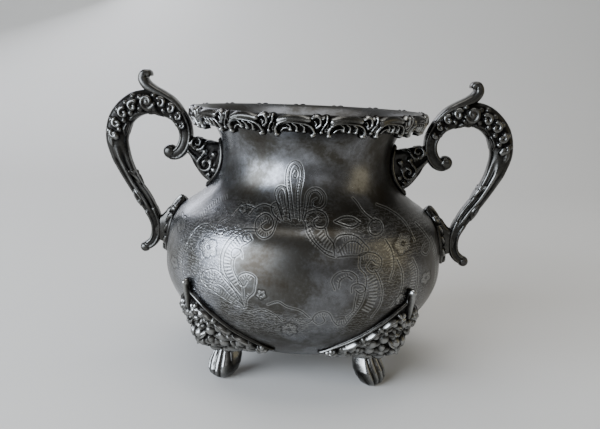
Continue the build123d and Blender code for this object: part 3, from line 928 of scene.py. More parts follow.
@dataclass
class SpunBody:
    """The spun shell and its soldered base, with the engraving cut into the outer wall."""

    profile: WallProfile
    wall: float = 1.0
    sectors: int = 6
    columns: int = 214
    back_columns: int = 150
    outer_rows: int = 370
    inner_rows: int = 56
    cut_depth: float = 0.11
    lip_rise: float = 0.4
    fine_from: float = 26.0
    fine_to: float = 98.0
    hammer_depth: float = 0.035
    plate_thickness: float = 1.0
    plate_dish: float = 0.9

    def hammered(self, azimuth: np.ndarray, height: np.ndarray) -> np.ndarray:
        """Find how far old dents and the spinning tool lift the wall: a product of two slow sines.

        Args:
            azimuth: Angles round the axis.
            height: Heights.

        Returns:
            Millimetres along the wall's normal.
        """
        return self.hammer_depth * np.sin(5 * azimuth + 0.09 * height) * np.sin(0.16 * height + 2.1)

    def sector(self, number: int) -> Surface:
        """Build one sixth of the shell.

        The section is the outer wall from base to lip, a round over the lip's edge, and the inner wall
        back down, one wall's thickness inside. It is swept evenly through a sixth of a turn, the outer
        points are sunk along the normal by the engraving, and each cut end is one flat face.

        Args:
            number: Which sixth, anticlockwise from +X.

        Returns:
            A closed surface.
        """
        whole = self.profile.travelled[-1]
        fine = np.interp([self.fine_from, self.fine_to], self.profile.line[:, 1], self.profile.travelled)
        travelled = np.interp(np.linspace(0, 1, self.outer_rows), [0.0, 0.08, 0.90, 1.0],
                              [0.0, *fine, whole])
        radius, height, across, up = self.profile.along(travelled)
        columns = self.back_columns if number < self.sectors // 2 else self.columns
        sixth = 2 * math.pi / self.sectors
        azimuth = hard_ended(number * sixth, (number + 1) * sixth, columns)
        side = np.where(np.sin(azimuth) <= 1e-9, 1.0, -1.0)
        plan = Engraving(side[:, None] * np.cos(azimuth)[:, None] * radius,
                         np.broadcast_to(height, (columns, self.outer_rows)))
        plan.shield()
        sunk = self.hammered(azimuth[:, None], height) - self.cut_depth * plan.cut
        sunk += self.lip_rise * self.cut_depth * plan.lip
        turn = np.linspace(0, math.pi, 7)[1:-1]
        lip_out = np.array([across[-1], up[-1]])
        lip_up = np.array([-up[-1], across[-1]])
        lip_middle = np.array([radius[-1], height[-1]]) - 0.5 * self.wall * lip_out
        round_over = lip_middle + 0.5 * self.wall * (
            np.cos(turn)[:, None] * lip_out + np.sin(turn)[:, None] * lip_up)
        back = np.linspace(whole, 0, self.inner_rows)
        inner_r, inner_z, inner_across, inner_up = self.profile.along(back)
        plain = np.concatenate([round_over, np.stack([inner_r - self.wall * inner_across,
                                                      inner_z - self.wall * inner_up], axis=1)])
        section_r, section_z = (
            np.concatenate([outer, np.broadcast_to(inner, (columns, len(plain)))], axis=1)
            for outer, inner in ((radius + sunk * across, plain[:, 0]), (height + sunk * up, plain[:, 1])))
        points = around(section_r, azimuth[:, None], section_z)
        blank = np.zeros((columns, len(plain)))
        marks = {name: np.concatenate([value, blank], axis=1) for name, value in (
            ("cut", plan.cut), ("lip", plan.lip), ("ground", plan.ground))}
        marks["inside"] = np.concatenate([np.zeros(plan.cut.shape), blank + 1], axis=1)
        index = np.arange(points[..., 0].size).reshape(points.shape[:2])
        ahead = np.roll(index, -1, axis=1)
        quads = np.stack([index[:-1], ahead[:-1], ahead[1:], index[1:]], axis=-1).reshape(-1, 4)
        ends = (index[0][::-1], index[-1])
        return outward(Surface(points.reshape(-1, 3), quads, np.empty((0, 3), dtype=int),
                               {name: value.reshape(-1) for name, value in marks.items()}, ends))

    def base_plate(self) -> Surface:
        """Build the dished disc under the base.

        Its rings run from its middle underneath, round its edge and back to its middle above.

        Returns:
            A closed surface.
        """
        radius = self.profile.base[0]
        top = self.profile.base[1]
        out = np.array([0.4, 0.25 * radius, 0.5 * radius, 0.75 * radius, 0.9 * radius, radius - 0.2, radius,
                        radius, radius - 0.2, 0.6 * radius, 0.4])
        low = top - self.plate_thickness
        dish = self.plate_dish
        z = np.array([low + dish, low + 0.94 * dish, low + 0.75 * dish, low + 0.4 * dish, low + 0.05 * dish,
                      low, low + 0.2, top - 0.2, top, top, top])
        turn = np.linspace(0, 2 * math.pi, 144, endpoint=False)
        return ring_surface(around(out[:, None], turn, z[:, None]))

    def build(self, finish: bpy.types.Material, plain: bpy.types.Material) -> None:
        """Make the shell's sectors and the base plate.

        Args:
            finish: The engraved plate's material.
            plain: The material of the base plate.
        """
        for number in range(self.sectors):
            make_piece(f"bowl_shell_sector_{number + 1}", [self.sector(number)], finish,
                       ("bowl_shell",))
        make_piece("bottom_plate_dished", [self.base_plate()], plain, ("bottom_plate",))


# ------------------------------------------------------------------ the cast border


# The border's pattern, in millimetres from the wing's first bead and down from the top edge.
# Cords of one repeat: points along and down, width, share of the full rise, taper.
BORDER_CORDS = [
    (((1.6, 2.5), (5, 1.5), (8.4, 1.3), (12.2, 1.7)), 4, 1.05, 0.25),
    (((-0.2, 7.4), (-0.3, 5.8), (0.7, 4.1), (2.6, 2.9), (5.6, 2.6), (9, 2.9), (11.4, 3.3), (13.6, 4.6),
      (15, 7)), 1.5, 1.05, 0.15),
    (((0.6, 4), (2, 2.9), (4.6, 2)), 1.7, 1.2, 0.3),
    (((1.8, 6.6), (2.9, 5.4), (4.4, 5), (5, 5.8)), 0.9, 0.75, 0),
    (((4, 3.2), (5.4, 4.2), (5.6, 5.6)), 1, 0.8, 0), (((6.6, 3.3), (7.9, 4.3), (8, 5.9)), 1.1, 0.85, 0),
    (((9.4, 3.5), (10.8, 4.4), (10.9, 6.1)), 1.1, 0.9, 0),
    (((13.8, 0.9), (15.6, 0.7), (16.7, 1.5), (16.9, 3.2), (16.2, 4.2)), 1.2, 1, 0),
    (((19.4, 0.8), (19.2, 2.4), (18.2, 4.2), (17.6, 5.6)), 1.1, 0.95, 0.2),
    (((14.8, 2.2), (15.4, 3.2), (15, 4)), 0.9, 0.7, 0),
    (((19.9, 3.2), (19.6, 4.6), (18.9, 5.6)), 0.9, 0.7, 0),
]
# Beads of one repeat: along, down, radius, share of the full rise.
BORDER_BEADS = [
    (0, 8, 1.25, 1.15), (14.2, 8, 1.25, 1.15), (5.6, 5.9, 0.8, 0.85), (8, 6.2, 0.85, 0.9),
    (10.9, 6.4, 0.9, 0.9), (15.7, 4.6, 0.85, 1), (17.5, 6.6, 1, 0.95), (19.2, 6.2, 0.7, 0.75),
    (17.9, 1, 0.8, 0.8), (13, 1.9, 0.7, 0.8),
]
# Where the lower edge hangs lowest: along, half width, millimetres down.
BORDER_TEETH = [
    (0, 1.15, 9.1), (14.4, 1.3, 9.1), (10.9, 1.1, 7.6), (8, 1, 7.3), (17.6, 1.3, 7.9),
]
# Where the upper edge stands up: along, half width, rise.
BORDER_CROWNS = [
    (15.6, 1.7, 0.8), (19.3, 1.4, 0.7), (6.5, 5, 0.4),
]
# The section before its ornament: down, radius of the face, radius of the back.
BORDER_SECTION = [
    (-0.6, 50.6, 49.9), (0, 51, 50), (1.2, 51.3, 49.6), (3.5, 51, 48.9), (6, 50, 48.2),
    (8.5, 48.9, 47.2), (10.8, 47.7, 46.2),
]


@dataclass
class RimBorder:
    """The cast border round the lip: four strips of a wing with ribs and beads, and a curled spray."""

    profile: WallProfile
    radius: float = 52.4
    repeats: int = 16
    columns: int = 380
    face_rows: int = 72
    back_rows: int = 12
    first_wing: float = -12.0
    relief_rise: float = 2.0
    shortest: float = 7.0
    face_lift: float = 0.6
    back_lift: float = 0.2
    steepness: float = 0.93

    @property
    def pitch(self) -> float:
        """The length of one repeat round the border."""
        return 2 * math.pi * self.radius / self.repeats

    def pattern(self, along: np.ndarray, down: np.ndarray) -> Relief:
        """Lay one repeat's ornament, with its neighbours' overlaps.

        Args:
            along: Millimetres along the border from the wing's first bead.
            down: Millimetres down from the top edge.

        Returns:
            The ornament.
        """
        relief = Relief(along, down, np.zeros(along.shape))
        top = self.relief_rise
        for shift in (-self.pitch, 0.0, self.pitch):
            for points, width, rise, taper in BORDER_CORDS:
                line = smooth_line([(shift + x, y) for x, y in points], 8 * len(points))
                relief.stroke(line, width, rise * top, taper)
            for x, y, radius, rise in BORDER_BEADS:
                relief.bead(shift + x, y, radius, rise * top)
        return relief

    def strip(self, number: int) -> Surface:
        """Build one quarter of the border.

        The face runs from the top edge, round the lip's edge and down to a ragged lower edge that
        follows the beads and ribs; the back follows the flare of the lip and closes the ring.

        Args:
            number: Which quarter.

        Returns:
            A closed surface.
        """
        start = FRONT + math.radians(90 * number - 45)
        azimuth = start + hard_ended(0, 0.5 * math.pi, self.columns)
        local = (self.radius * (azimuth - FRONT - math.radians(self.first_wing))) % self.pitch
        edge = np.full(local.shape, self.shortest)
        for middle, half, low in BORDER_TEETH:
            offset = np.abs((local - middle + 0.5 * self.pitch) % self.pitch - 0.5 * self.pitch)
            tooth = low - half + half * bump(offset, half)
            edge = np.maximum(edge, tooth - 6.0 * np.clip(offset - half, 0, 9))
        crown = np.max([rise * bump(local - middle, half) for middle, half, rise in BORDER_CROWNS], axis=0)
        share = np.linspace(0, 1, self.face_rows)
        down = share[None, :] * edge[:, None]
        relief = self.pattern(np.broadcast_to(local[:, None], down.shape), down)
        height = relief.height
        section_down, face_radius, back_radius = zip(*BORDER_SECTION)
        face_r = np.interp(down, section_down, face_radius)
        face_z = self.profile.lip[1] + self.face_lift - down * self.steepness
        face_z += crown[:, None] * np.clip(1 - down / 2.2, 0, 1)
        out_r = face_r + height * 0.92
        out_z = face_z - 0.12 * height
        back_share = np.linspace(1, 0, self.back_rows + 2)[1:-1]
        back_down = back_share[None, :] * edge[:, None]
        back_r = np.interp(back_down, section_down, back_radius)
        back_z = self.profile.lip[1] + self.back_lift - back_down * self.steepness
        section_r = np.concatenate([out_r, back_r], axis=1)
        section_z = np.concatenate([out_z, back_z], axis=1)
        rings = around(section_r, azimuth[:, None], section_z)
        flat = np.full(back_r.shape, 0.15)
        face = wear_and_shade_marks(height)["wear"]
        return ring_surface(rings, {"wear": np.concatenate([face, flat], axis=1)})

    def build(self, finish: bpy.types.Material) -> None:
        """Make the four strips.

        Args:
            finish: The cast plate's material.
        """
        for number, side in enumerate(("front", "right", "back", "left")):
            make_piece(f"rim_border_{side}_cast", [self.strip(number)], finish,
                       (f"rim_border_{side}",))


# ------------------------------------------------------------------ shapes shared by the handles and feet


def carried(line: np.ndarray, columns: int, exponent: float = 2.4) -> tuple[np.ndarray, np.ndarray]:
    """Carry a rounded section along a line that lies in the XZ plane.

    The section is a superellipse: its half width lies square to the line in the plane, its half
    depth across the plane, and each is multiplied by the signed power 2 / exponent of a cosine or sine.

    Args:
        line: Rows of x, z, width and depth.
        columns: Points round the section.
        exponent: 2 for an ellipse, more for a squarer section.

    Returns:
        The points and their outward normals, both as (row, place, xyz).
    """
    step = np.gradient(line[:, :2], axis=0)
    step /= np.linalg.norm(step, axis=1)[:, None]
    square = np.stack([-step[:, 1], np.zeros(len(line)), step[:, 0]], axis=1)
    turn = np.linspace(0, 2 * math.pi, columns, endpoint=False)
    cos = np.cos(turn)
    sin = np.sin(turn)
    power = 2 / exponent
    out = np.sign(cos) * np.abs(cos) ** power
    side = np.sign(sin) * np.abs(sin) ** power
    middle = np.stack([line[:, 0], np.zeros(len(line)), line[:, 1]], axis=1)
    depthwise = np.array([0.0, 1.0, 0.0])
    width = 0.5 * line[:, 2, None, None]
    depth = 0.5 * line[:, 3, None, None]
    points = middle[:, None] + width * out[:, None] * square[:, None] + depth * side[:, None] * depthwise
    facing = (np.sign(cos) * np.abs(cos) ** (2 - power))[:, None] * square[:, None] / width + (
        np.sign(sin) * np.abs(sin) ** (2 - power))[:, None] * depthwise / depth
    facing /= np.linalg.norm(facing, axis=-1)[..., None]
    return points, facing


def seated(points: np.ndarray, wear: np.ndarray, profile: WallProfile, sink: float = 0.25
           ) -> tuple[np.ndarray, np.ndarray]:
    """Start every line of a carried piece where it comes out of the bowl's wall.

    For each line the gap is its distance from the axis less the wall's radius at its height. The line
    starts at the row where the gap, plus the sink, first passes zero, and its rows are spread evenly from
    there to its last row.

    Args:
        points: The piece as (row, place, xyz), with row 0 inside the wall.
        wear: The relief marks at the same rows and places.
        profile: The bowl's wall.
        sink: Millimetres that the first row is sunk into the wall.

    Returns:
        The points and the relief marks, from the wall outwards.
    """
    rows, places, _ = points.shape
    gap = np.hypot(points[..., 0], points[..., 1]) - profile.at_height(points[..., 2])[0] + sink
    first = np.argmax(gap > 0, axis=0)
    before = np.maximum(first - 1, 0)
    place = np.arange(places)
    within = gap[before, place]
    start = np.where(first > 0, before + within / np.minimum(within - gap[first, place], -1e-9), 0.0)
    at = start + (rows - 1 - start) * np.linspace(0, 1, rows)[:, None]
    low = np.clip(at.astype(int), 0, rows - 2)
    part = at - low
    both = np.concatenate([points, wear[..., None]], axis=-1)
    both = both[low, place] * (1 - part[..., None]) + both[low + 1, place] * part[..., None]
    return both[..., :3], both[..., 3]


def half_turned(points: np.ndarray, side: int) -> np.ndarray:
    """Leave points as they are for side 1, or give them a half turn about the bowl's axis for side -1."""
    return points * np.array([side, side, 1.0])


@dataclass
class WallLeaf:
    """A plate laid against the wall, domed to its edge, with ornament on it: the root of every casting."""

    profile: WallProfile
    azimuth: float
    outline: np.ndarray
    lift: float = 1.4
    edge: float = 0.8
    places: int = 70

    def places_on_wall(self) -> tuple[np.ndarray, np.ndarray]:
        """Sideways places and heights, as (row, place) arrays, for laying ornament."""
        share = np.linspace(-1, 1, self.places)
        sideways = self.outline[:, 1, None] * share
        return sideways, np.broadcast_to(self.outline[:, 0, None], sideways.shape)

    def surface(self, relief: np.ndarray, reach: np.ndarray | float = 0.0) -> Surface:
        """Raise the plate: its face stands lift above the wall, rounded to edge at its rim, plus relief.

        Args:
            relief: Ornament height at each place.
            reach: How far each place is pushed straight out from the axis.

        Returns:
            A closed surface, its back a little way inside the wall.
        """
        sideways, height = self.places_on_wall()
        radius = self.profile.at_height(height)[0]
        turned = self.azimuth + np.arcsin(np.clip(sideways / radius, -0.98, 0.98))
        share = np.linspace(-1, 1, self.places)
        dome = self.edge + (self.lift - self.edge) * bump(share, 1.0)[None, :]
        front = self.profile.on_wall(turned, height, dome + relief, reach)
        back = self.profile.on_wall(turned[:, ::-1], height[:, ::-1], np.full(height.shape, -0.3))
        rings = np.concatenate([front, back], axis=1)
        wear = wear_and_shade_marks(relief)["wear"]
        return ring_surface(rings, {"wear": np.concatenate([wear, np.full(wear.shape, 0.1)], axis=1)})


# ------------------------------------------------------------------ the handles


# The right handle's ornament, in millimetres in the frame's X and Z.
# Curls on the arm: middle in X and Z, radius, first angle, turns, width, rise.
ARM_CURLS = [
    ((72, 115), 3.3, 200, 1.3, 2.2, 1.6), ((78.4, 112.8), 2.4, 120, -0.9, 2, 1.5),
    ((82.6, 109.6), 2.4, 90, -0.9, 2, 1.45), ((85.6, 105), 2.1, 60, -0.9, 1.9, 1.4),
    ((87, 100.2), 1.8, 40, -0.8, 1.8, 1.3), ((66, 114.6), 2.2, 60, 0.9, 1.9, 1.4),
    ((61.6, 112.2), 2, 80, 0.9, 1.7, 1.3), ((58.4, 108.8), 1.7, 100, 0.8, 1.5, 1.2),
    ((56.6, 104.8), 1.3, 120, 0.8, 1.3, 1.1),
]
# Beads between the curls: X, Z, radius, rise.
ARM_BEADS = [
    (72, 115, 1.4, 1.8), (75.2, 111.6, 1.5, 1.2), (69, 111.8, 1.5, 1.2), (75.4, 116.8, 1.3, 1.1),
    (69, 118, 1.2, 1.1), (79.4, 109.6, 1.4, 1.2), (82.4, 106.2, 1.3, 1.2), (84.6, 102.2, 1.3, 1.2),
    (86.2, 98.8, 1.6, 1.3), (64.6, 111.4, 1.2, 1.1), (61.2, 108.4, 1.1, 1), (58.9, 105.2, 1, 1),
    (81.8, 114.2, 1.2, 1), (85.4, 111, 1.2, 1), (88.3, 106.4, 1.2, 1), (89.8, 101.6, 1.2, 1),
    (70.8, 109.8, 1.4, 1.3), (78.6, 117.2, 1.1, 0.9),
]
# Leaves on the arm: points in X and Z, width.
ARM_LEAVES = [
    ([(65.4, 108.4), (68.6, 110.4), (72, 110.6)], 1.9), ([(73, 110.4), (77.2, 109), (80.4, 106.2)], 2),
    ([(80.8, 105.6), (82.2, 102.4), (82.4, 99.4)], 2.1), ([(87.6, 101), (88.6, 98), (87.8, 94.4)], 2.2),
]
# Raised edges: share of the half width, first and last share of the length, width, rise.
ARM_EDGES = [
    (0.7, 0.02, 0.2, 1.3, 0.8), (-0.7, 0.02, 0.2, 1.3, 0.8), (0.62, 0.83, 0.99, 1.4, 0.8),
    (-0.62, 0.83, 0.99, 1.4, 0.8),
]
# The thumb scroll: X, Z, width, depth.
THUMB_STATIONS = [
    (55, 107.6, 1.6, 6), (57.4, 112, 2.2, 7.4), (61.2, 116, 2.8, 8.4), (65.4, 118.4, 3.4, 8.8),
    (69.6, 120.2, 4.2, 8.8), (72.7, 122.2, 4.6, 8.6), (74.4, 124.8, 4.4, 8.4), (73.8, 127.2, 4, 8.2),
    (72.2, 127.4, 3.4, 7.6), (71.9, 126.2, 2.8, 7),
]
# The upper bracket from the loop to the neck: X, Z, width, depth.
BRACKET_STATIONS = [
    (56.4, 97.4, 6, 5), (53, 96.4, 8, 5.4), (49.6, 94.6, 11, 6), (46, 92, 15, 6.8), (42, 89.6, 19, 7.6),
    (38.6, 88.6, 21, 8),
]
# Beads on the bracket: X, Z, radius.
BRACKET_BEADS = [
    (52.6, 97, 1.4), (46, 93.6, 1.5), (41.8, 92.6, 1.5), (41.8, 85.6, 1.5), (44, 83.6, 1.2),
]
# The lug from the belly to the stem and the curled tip over it: stations as above, exponent.
MOUNT_LUGS = [
    ([(51, 60.4, 20, 4), (56, 59.4, 21.4, 5.4), (59, 58.6, 19.6, 6), (62, 57.6, 16.6, 6.2),
      (65, 57, 13.8, 6), (69, 56.8, 10.4, 5.6)], 2.8),
    ([(54.6, 66, 2.6, 6), (56, 69, 3.4, 6), (56.8, 70.8, 3, 5), (57, 72.2, 1.4, 3.2)], 2.4),
]


@dataclass
class Handle:
    """One cast handle: a scroll with flowers and beads on its arm, a thumb scroll, and a plain stem."""

    profile: WallProfile
    side: int
    columns: int = 128
    rows: int = 410
    curl_radius: float = 3.3
    flute_depth: float = 0.55
    stations: tuple[tuple[float, float, float, float], ...] = (
        (63.2, 92.6, 4.4, 6.0), (61.0, 91.6, 5.2, 6.4), (58.2, 92.8, 5.6, 6.4), (56.2, 95.6, 5.8, 6.4),
        (55.2, 99.0, 5.8, 6.5), (55.3, 102.7, 6.2, 6.9), (56.8, 106.6, 7.0, 7.3), (59.8, 110.4, 8.3, 7.7),
        (64.6, 113.4, 10.0, 8.4), (70.8, 115.0, 11.0, 8.6), (78.4, 113.4, 11.2, 8.6),
        (84.7, 107.0, 11.0, 8.6), (86.8, 98.6, 10.2, 8.4), (85.5, 91.4, 8.6, 7.7), (83.2, 85.5, 7.0, 6.9),
        (78.9, 77.4, 5.9, 6.4), (74.5, 71.0, 6.0, 6.2), (70.8, 64.4, 5.7, 6.0), (68.9, 59.3, 5.1, 5.8),
        (68.9, 54.2, 4.7, 5.4), (70.5, 50.4, 4.5, 5.4), (73.9, 47.9, 4.2, 5.2),
    )

    def rail(self, share: float, first: float, last: float) -> np.ndarray:
        """Draw a line beside the scroll's own line.

        Args:
            share: The offset, as a share of the half width.
            first: Where it starts, as a share of the scroll's length.
            last: Where it ends.

        Returns:
            Its points.
        """
        line = smooth_line(self.stations, 240)
        step = np.gradient(line[:, :2], axis=0)
        step /= np.linalg.norm(step, axis=1)[:, None]
        beside = line[:, :2] + 0.5 * share * line[:, 2:3] * np.stack([-step[:, 1], step[:, 0]], axis=1)
        return beside[int(240 * first):int(240 * last):3]

    def arm_relief(self, x: np.ndarray, z: np.ndarray) -> Relief:
        """Lay the arm's ornament: a rose at the crest, shells and leaves dying away to each side.

        Args:
            x: X of each place.
            z: Z of each place.

        Returns:
            The ornament, in millimetres along the section's own normals.
        """
        relief = Relief(x, z, np.zeros(x.shape))
        for middle, radius, start, turns, width, rise in ARM_CURLS:
            relief.stroke(np.array(spiral_line(middle, radius, start, turns)), width, rise)
        for bx, bz, radius, rise in ARM_BEADS:
            relief.bead(bx, bz, radius, rise)
        for points, width in ARM_LEAVES:
            relief.leaf(smooth_line(points, 18), width, 1.2)
        for share, first, last, width, rise in ARM_EDGES:
            relief.stroke(self.rail(share, first, last), width, rise)
        relief.leaf(smooth_line([(80.6, 83.4), (76.8, 80.2), (73.7, 76.0)], 14), 2.6, 1.3)
        relief.leaf(smooth_line([(78.6, 74.6), (76.6, 71.0), (75.6, 67.2)], 12), 2.6, 1.2)
        relief.bead(76.4, 69.4, 1.5, 1.0)
        return relief

    def arm(self) -> Surface:
        """Carry the section along the whole scroll, raise the ornament on it and flute its stem.

        The flutes are a cosine of the place across the section, so their ridges run the stem's length.

        Returns:
            A closed surface.
        """
        line = smooth_line(self.stations, self.rows)
        points, facing = carried(line, self.columns, 2.5)
        relief = self.arm_relief(points[..., 0], points[..., 2])
        fade = np.clip((np.arange(self.rows) - 6) / 8, 0, 1)[:, None]
        raised = relief.height * fade * (0.25 + 0.75 * np.abs(facing[..., 1]))
        points = points + raised[..., None] * facing
        marks = wear_and_shade_marks(raised, 0.34, 0.46)
        turn = np.linspace(0, 2 * math.pi, self.columns, endpoint=False)
        stem = np.interp(np.linspace(0, 1, self.rows), [0.55, 0.61, 0.80, 0.86], [0, 1, 1, 0])[:, None]
        flutes = np.cos(2.4 * math.pi * np.cos(turn)) * np.abs(np.sin(turn)) ** 0.5 * stem
        points = points + self.flute_depth * flutes[..., None] * facing
        # A painted highlight along each flute's ridge, and the stem painted a little lighter overall.
        marks["wear"] = np.clip(marks["wear"] + (0.08 + 0.22 * flutes) * stem, 0, 1)
        return ring_surface(half_turned(points, self.side), marks)

    def thumb(self) -> Surface:
        """Carry a smooth strap up the top of the arm and roll its end back as a thumb scroll.

        Returns:
            A closed surface.
        """
        line = smooth_line(THUMB_STATIONS, 140)
        points, _ = carried(line, 48, 3.0)
        wear = np.full(points.shape[:2], 0.5)
        return ring_surface(half_turned(points, self.side), {"wear": wear})

    def balls(self) -> list[Surface]:
        """Roll both ends of the scroll: a ball at the inner end and a flattened roll below the stem.

        Returns:
            A closed surface for each end.
        """
        made = []
        share = np.linspace(0.03, math.pi - 0.03, 22)[:, None]
        turn = np.linspace(0, 2 * math.pi, 40, endpoint=False)
        for (x, z), radius, depth in (((62.3, 92.9), self.curl_radius, 7.4), ((74.2, 47.6), 2.4, 5.8)):
            ring = radius * np.sin(share) ** 0.7
            points = np.stack(np.broadcast_arrays(x + ring * np.cos(turn), -0.5 * depth * np.cos(share),
                                                  z + ring * np.sin(turn)), axis=-1)
            made.append(ring_surface(half_turned(points, self.side), {"wear": np.full((22, 40), 0.5)}))
        return made

    def upper_bracket(self) -> list[Surface]:
        """Carry the bracket from the loop to the neck, and lay its crescent against the neck.

        Returns:
            The bracket, which deepens as it goes in, and the crescent.
        """
        line = smooth_line(BRACKET_STATIONS, 130)
        points, facing = carried(line, 120, 3.2)
        relief = Relief(points[..., 0], points[..., 2], np.zeros(points.shape[:2]))
        for points_on, width, rise in (
                (spiral_line((49.6, 97.6), 3.4, 200, 1.3), 1.5, 1.2),
                (spiral_line((45.6, 88.2), 3.8, 60, -1.3), 1.6, 1.2),
                ([(53.6, 93.6), (50.0, 90.0), (47.0, 84.6), (43.6, 81.4)], 1.7, 1.1),
                ([(42.0, 98.6), (45.6, 97.6), (48.0, 94.0)], 1.5, 1.0)):
            relief.stroke(smooth_line(points_on, 34), width, rise)
        for x, z, radius in BRACKET_BEADS:
            relief.bead(x, z, radius, 1.2)
        raised = relief.height * np.abs(facing[..., 1])
        wear = wear_and_shade_marks(raised, 0.30, 0.42)["wear"]
        points, wear = seated((points + raised[..., None] * facing)[::-1], wear[::-1], self.profile)
        arm = ring_surface(half_turned(points, self.side), {"wear": wear})
        share = np.linspace(0, 1, 90)
        half_width = 7.6 * np.sin(math.pi * (0.04 + 0.92 * share)) ** 0.42
        outline = np.stack([77.6 + 23.0 * share, half_width], axis=1)
        fan = WallLeaf(self.profile, 0.0 if self.side == 1 else math.pi, outline, 1.1, 0.7)
        sideways, height = fan.places_on_wall()
        ornament = Relief(sideways, height, np.zeros(sideways.shape))
        for half in (-1, 1):
            edge = smooth_line([(half * 2.6, 78.8), (half * 5.6, 82.0), (half * 6.7, 88.6),
                                (half * 5.8, 95.6), (half * 3.0, 99.6)], 30)
            ornament.stroke(edge, 1.6, 0.8)
            for z in (82.6, 86.4, 90.2, 94.0, 97.4):
                ornament.bead(half * 4.6, z, 1.2, 0.7)
        return [arm, fan.surface(ornament.height)]

    def lower_mount(self) -> list[Surface]:
        """Lay the leaf on the belly and carry the curled tip over it and the lug out to the stem.

        Returns:
            The leaf and its lugs.
        """
        share = np.linspace(0, 1, 100)
        half_width = 7.4 * np.sin(math.pi * (0.05 + 0.9 * share)) ** 0.6
        outline = np.stack([46.4 + 24.4 * share, half_width], axis=1)
        leaf = WallLeaf(self.profile, 0.0 if self.side == 1 else math.pi, outline, 2.4, 0.6)
        sideways, height = leaf.places_on_wall()
        ornament = Relief(sideways, height, np.zeros(sideways.shape))
        ornament.stroke(smooth_line([(0.0, 47.4), (0.0, 58.0), (0.0, 70.0)], 20), 1.8, 1.4)
        for half in (-1, 1):
            for base, tip in ((50.0, 54.0), (54.4, 59.4), (58.8, 64.4), (63.4, 68.2)):
                vein = [(half * 0.8, base), (half * 3.8, 0.4 * base + 0.6 * tip), (half * 6.2, tip)]
                ornament.leaf(smooth_line(vein, 12), 3.2, 1.3)
        made = [leaf.surface(ornament.height)]
        for stations, exponent in MOUNT_LUGS:
            points, _ = carried(smooth_line(stations, 40), 48, exponent)
            points, wear = seated(points, np.full(points.shape[:2], 0.42), self.profile)
            made.append(ring_surface(half_turned(points, self.side), {"wear": wear}))
        return made

    def build(self, finish: bpy.types.Material) -> None:
        """Make the handle's loop, its bracket and its lower mount.

        Args:
            finish: The cast plate's material.
        """
        where = "right" if self.side == 1 else "left"
        make_piece(f"handle_{where}_scroll", [self.arm()] + self.balls(), finish,
                   (f"handle_{where}",))
        make_piece(f"handle_{where}_thumb_scroll", [self.thumb()], finish)
        make_piece(f"handle_{where}_upper_bracket_cast", self.upper_bracket(), finish,
                   (f"handle_{where}_upper_bracket",))
        make_piece(f"handle_{where}_lower_leaf", self.lower_mount(), finish,
                   (f"handle_{where}_lower_mount",))


# ------------------------------------------------------------------ the feet


# The apron's ornament, in millimetres sideways from its middle and above the table.
# Flowers of half an apron: sideways, height, radius, turn.
APRON_FLOWERS = [
    (3.6, 35.8, 2.6, 0.2), (8.6, 30.8, 3.2, 0.9), (3.8, 29, 2.9, 0.4), (13.6, 25.4, 2.9, 0.1),
    (18.2, 21.4, 2.4, 0.7), (22, 19.6, 1.7, 0.3), (5.4, 20.4, 3, 0.8), (12, 19.4, 2.4, 0.5),
]
# Beads: sideways, height, radius.
APRON_BEADS = [
    (1.2, 33.2, 1.8), (6.4, 34, 1.5), (7, 26.6, 1.9), (11.2, 28.6, 1.5), (10, 24, 2), (1.8, 24.6, 1.8),
    (8.8, 20.8, 1.6), (15.6, 21.8, 1.5), (16.2, 18.6, 1.5), (8.6, 17.4, 1.5), (19.6, 18.5, 1.2),
    (2.4, 16.6, 1.5),
]
# Leaves: points sideways and up, width.
APRON_LEAVES = [
    ([(5.2, 35.6), (7.4, 34.8), (10.4, 32)], 1.9), ([(10.4, 31), (12.4, 29.4), (14.8, 26.4)], 1.8),
    ([(15, 26), (17.2, 24.4), (20, 21.2)], 1.7), ([(7.4, 25.2), (11.2, 23.6), (12.4, 22.8)], 1.8),
    ([(0.6, 22.6), (3, 23.8), (4.8, 25.4)], 2), ([(11.4, 17.6), (14, 18.2), (17, 17)], 1.7),
    ([(5, 16.4), (8, 16.2), (11, 16.8)], 1.5), ([(1, 30.6), (3.2, 31.8), (4.8, 31.6)], 1.7),
]
# The strap along the upper edge: sideways, height.
APRON_STRAP = [
    (1.6, 41.6), (6.3, 38.4), (11.5, 33.4), (17.2, 27.3), (22, 22.6), (25.2, 19.6),
]
# The upper edge, with the finial at its middle: sideways, height.
APRON_TOP = [
    (0, 47.4), (1, 46.9), (1.5, 45.6), (1.9, 41.9), (6.5, 39), (11.8, 34.1), (17.5, 28), (22, 23.4),
    (25.5, 19.2),
]
# The lower edge before its scallops: sideways, height.
APRON_FOOT = [
    (0, 14.6), (6, 15), (12, 15.8), (19, 16.6), (24, 17.4), (25.5, 18.2),
]
# How far the knee stands off the wall: height, stand-off.
APRON_KNEE = [
    (14, 7.6), (16, 8.4), (18, 9), (20.5, 8.8), (23, 7.6), (26, 5.4), (31, 2.8), (40, 0.8), (47.4, 0.6),
]


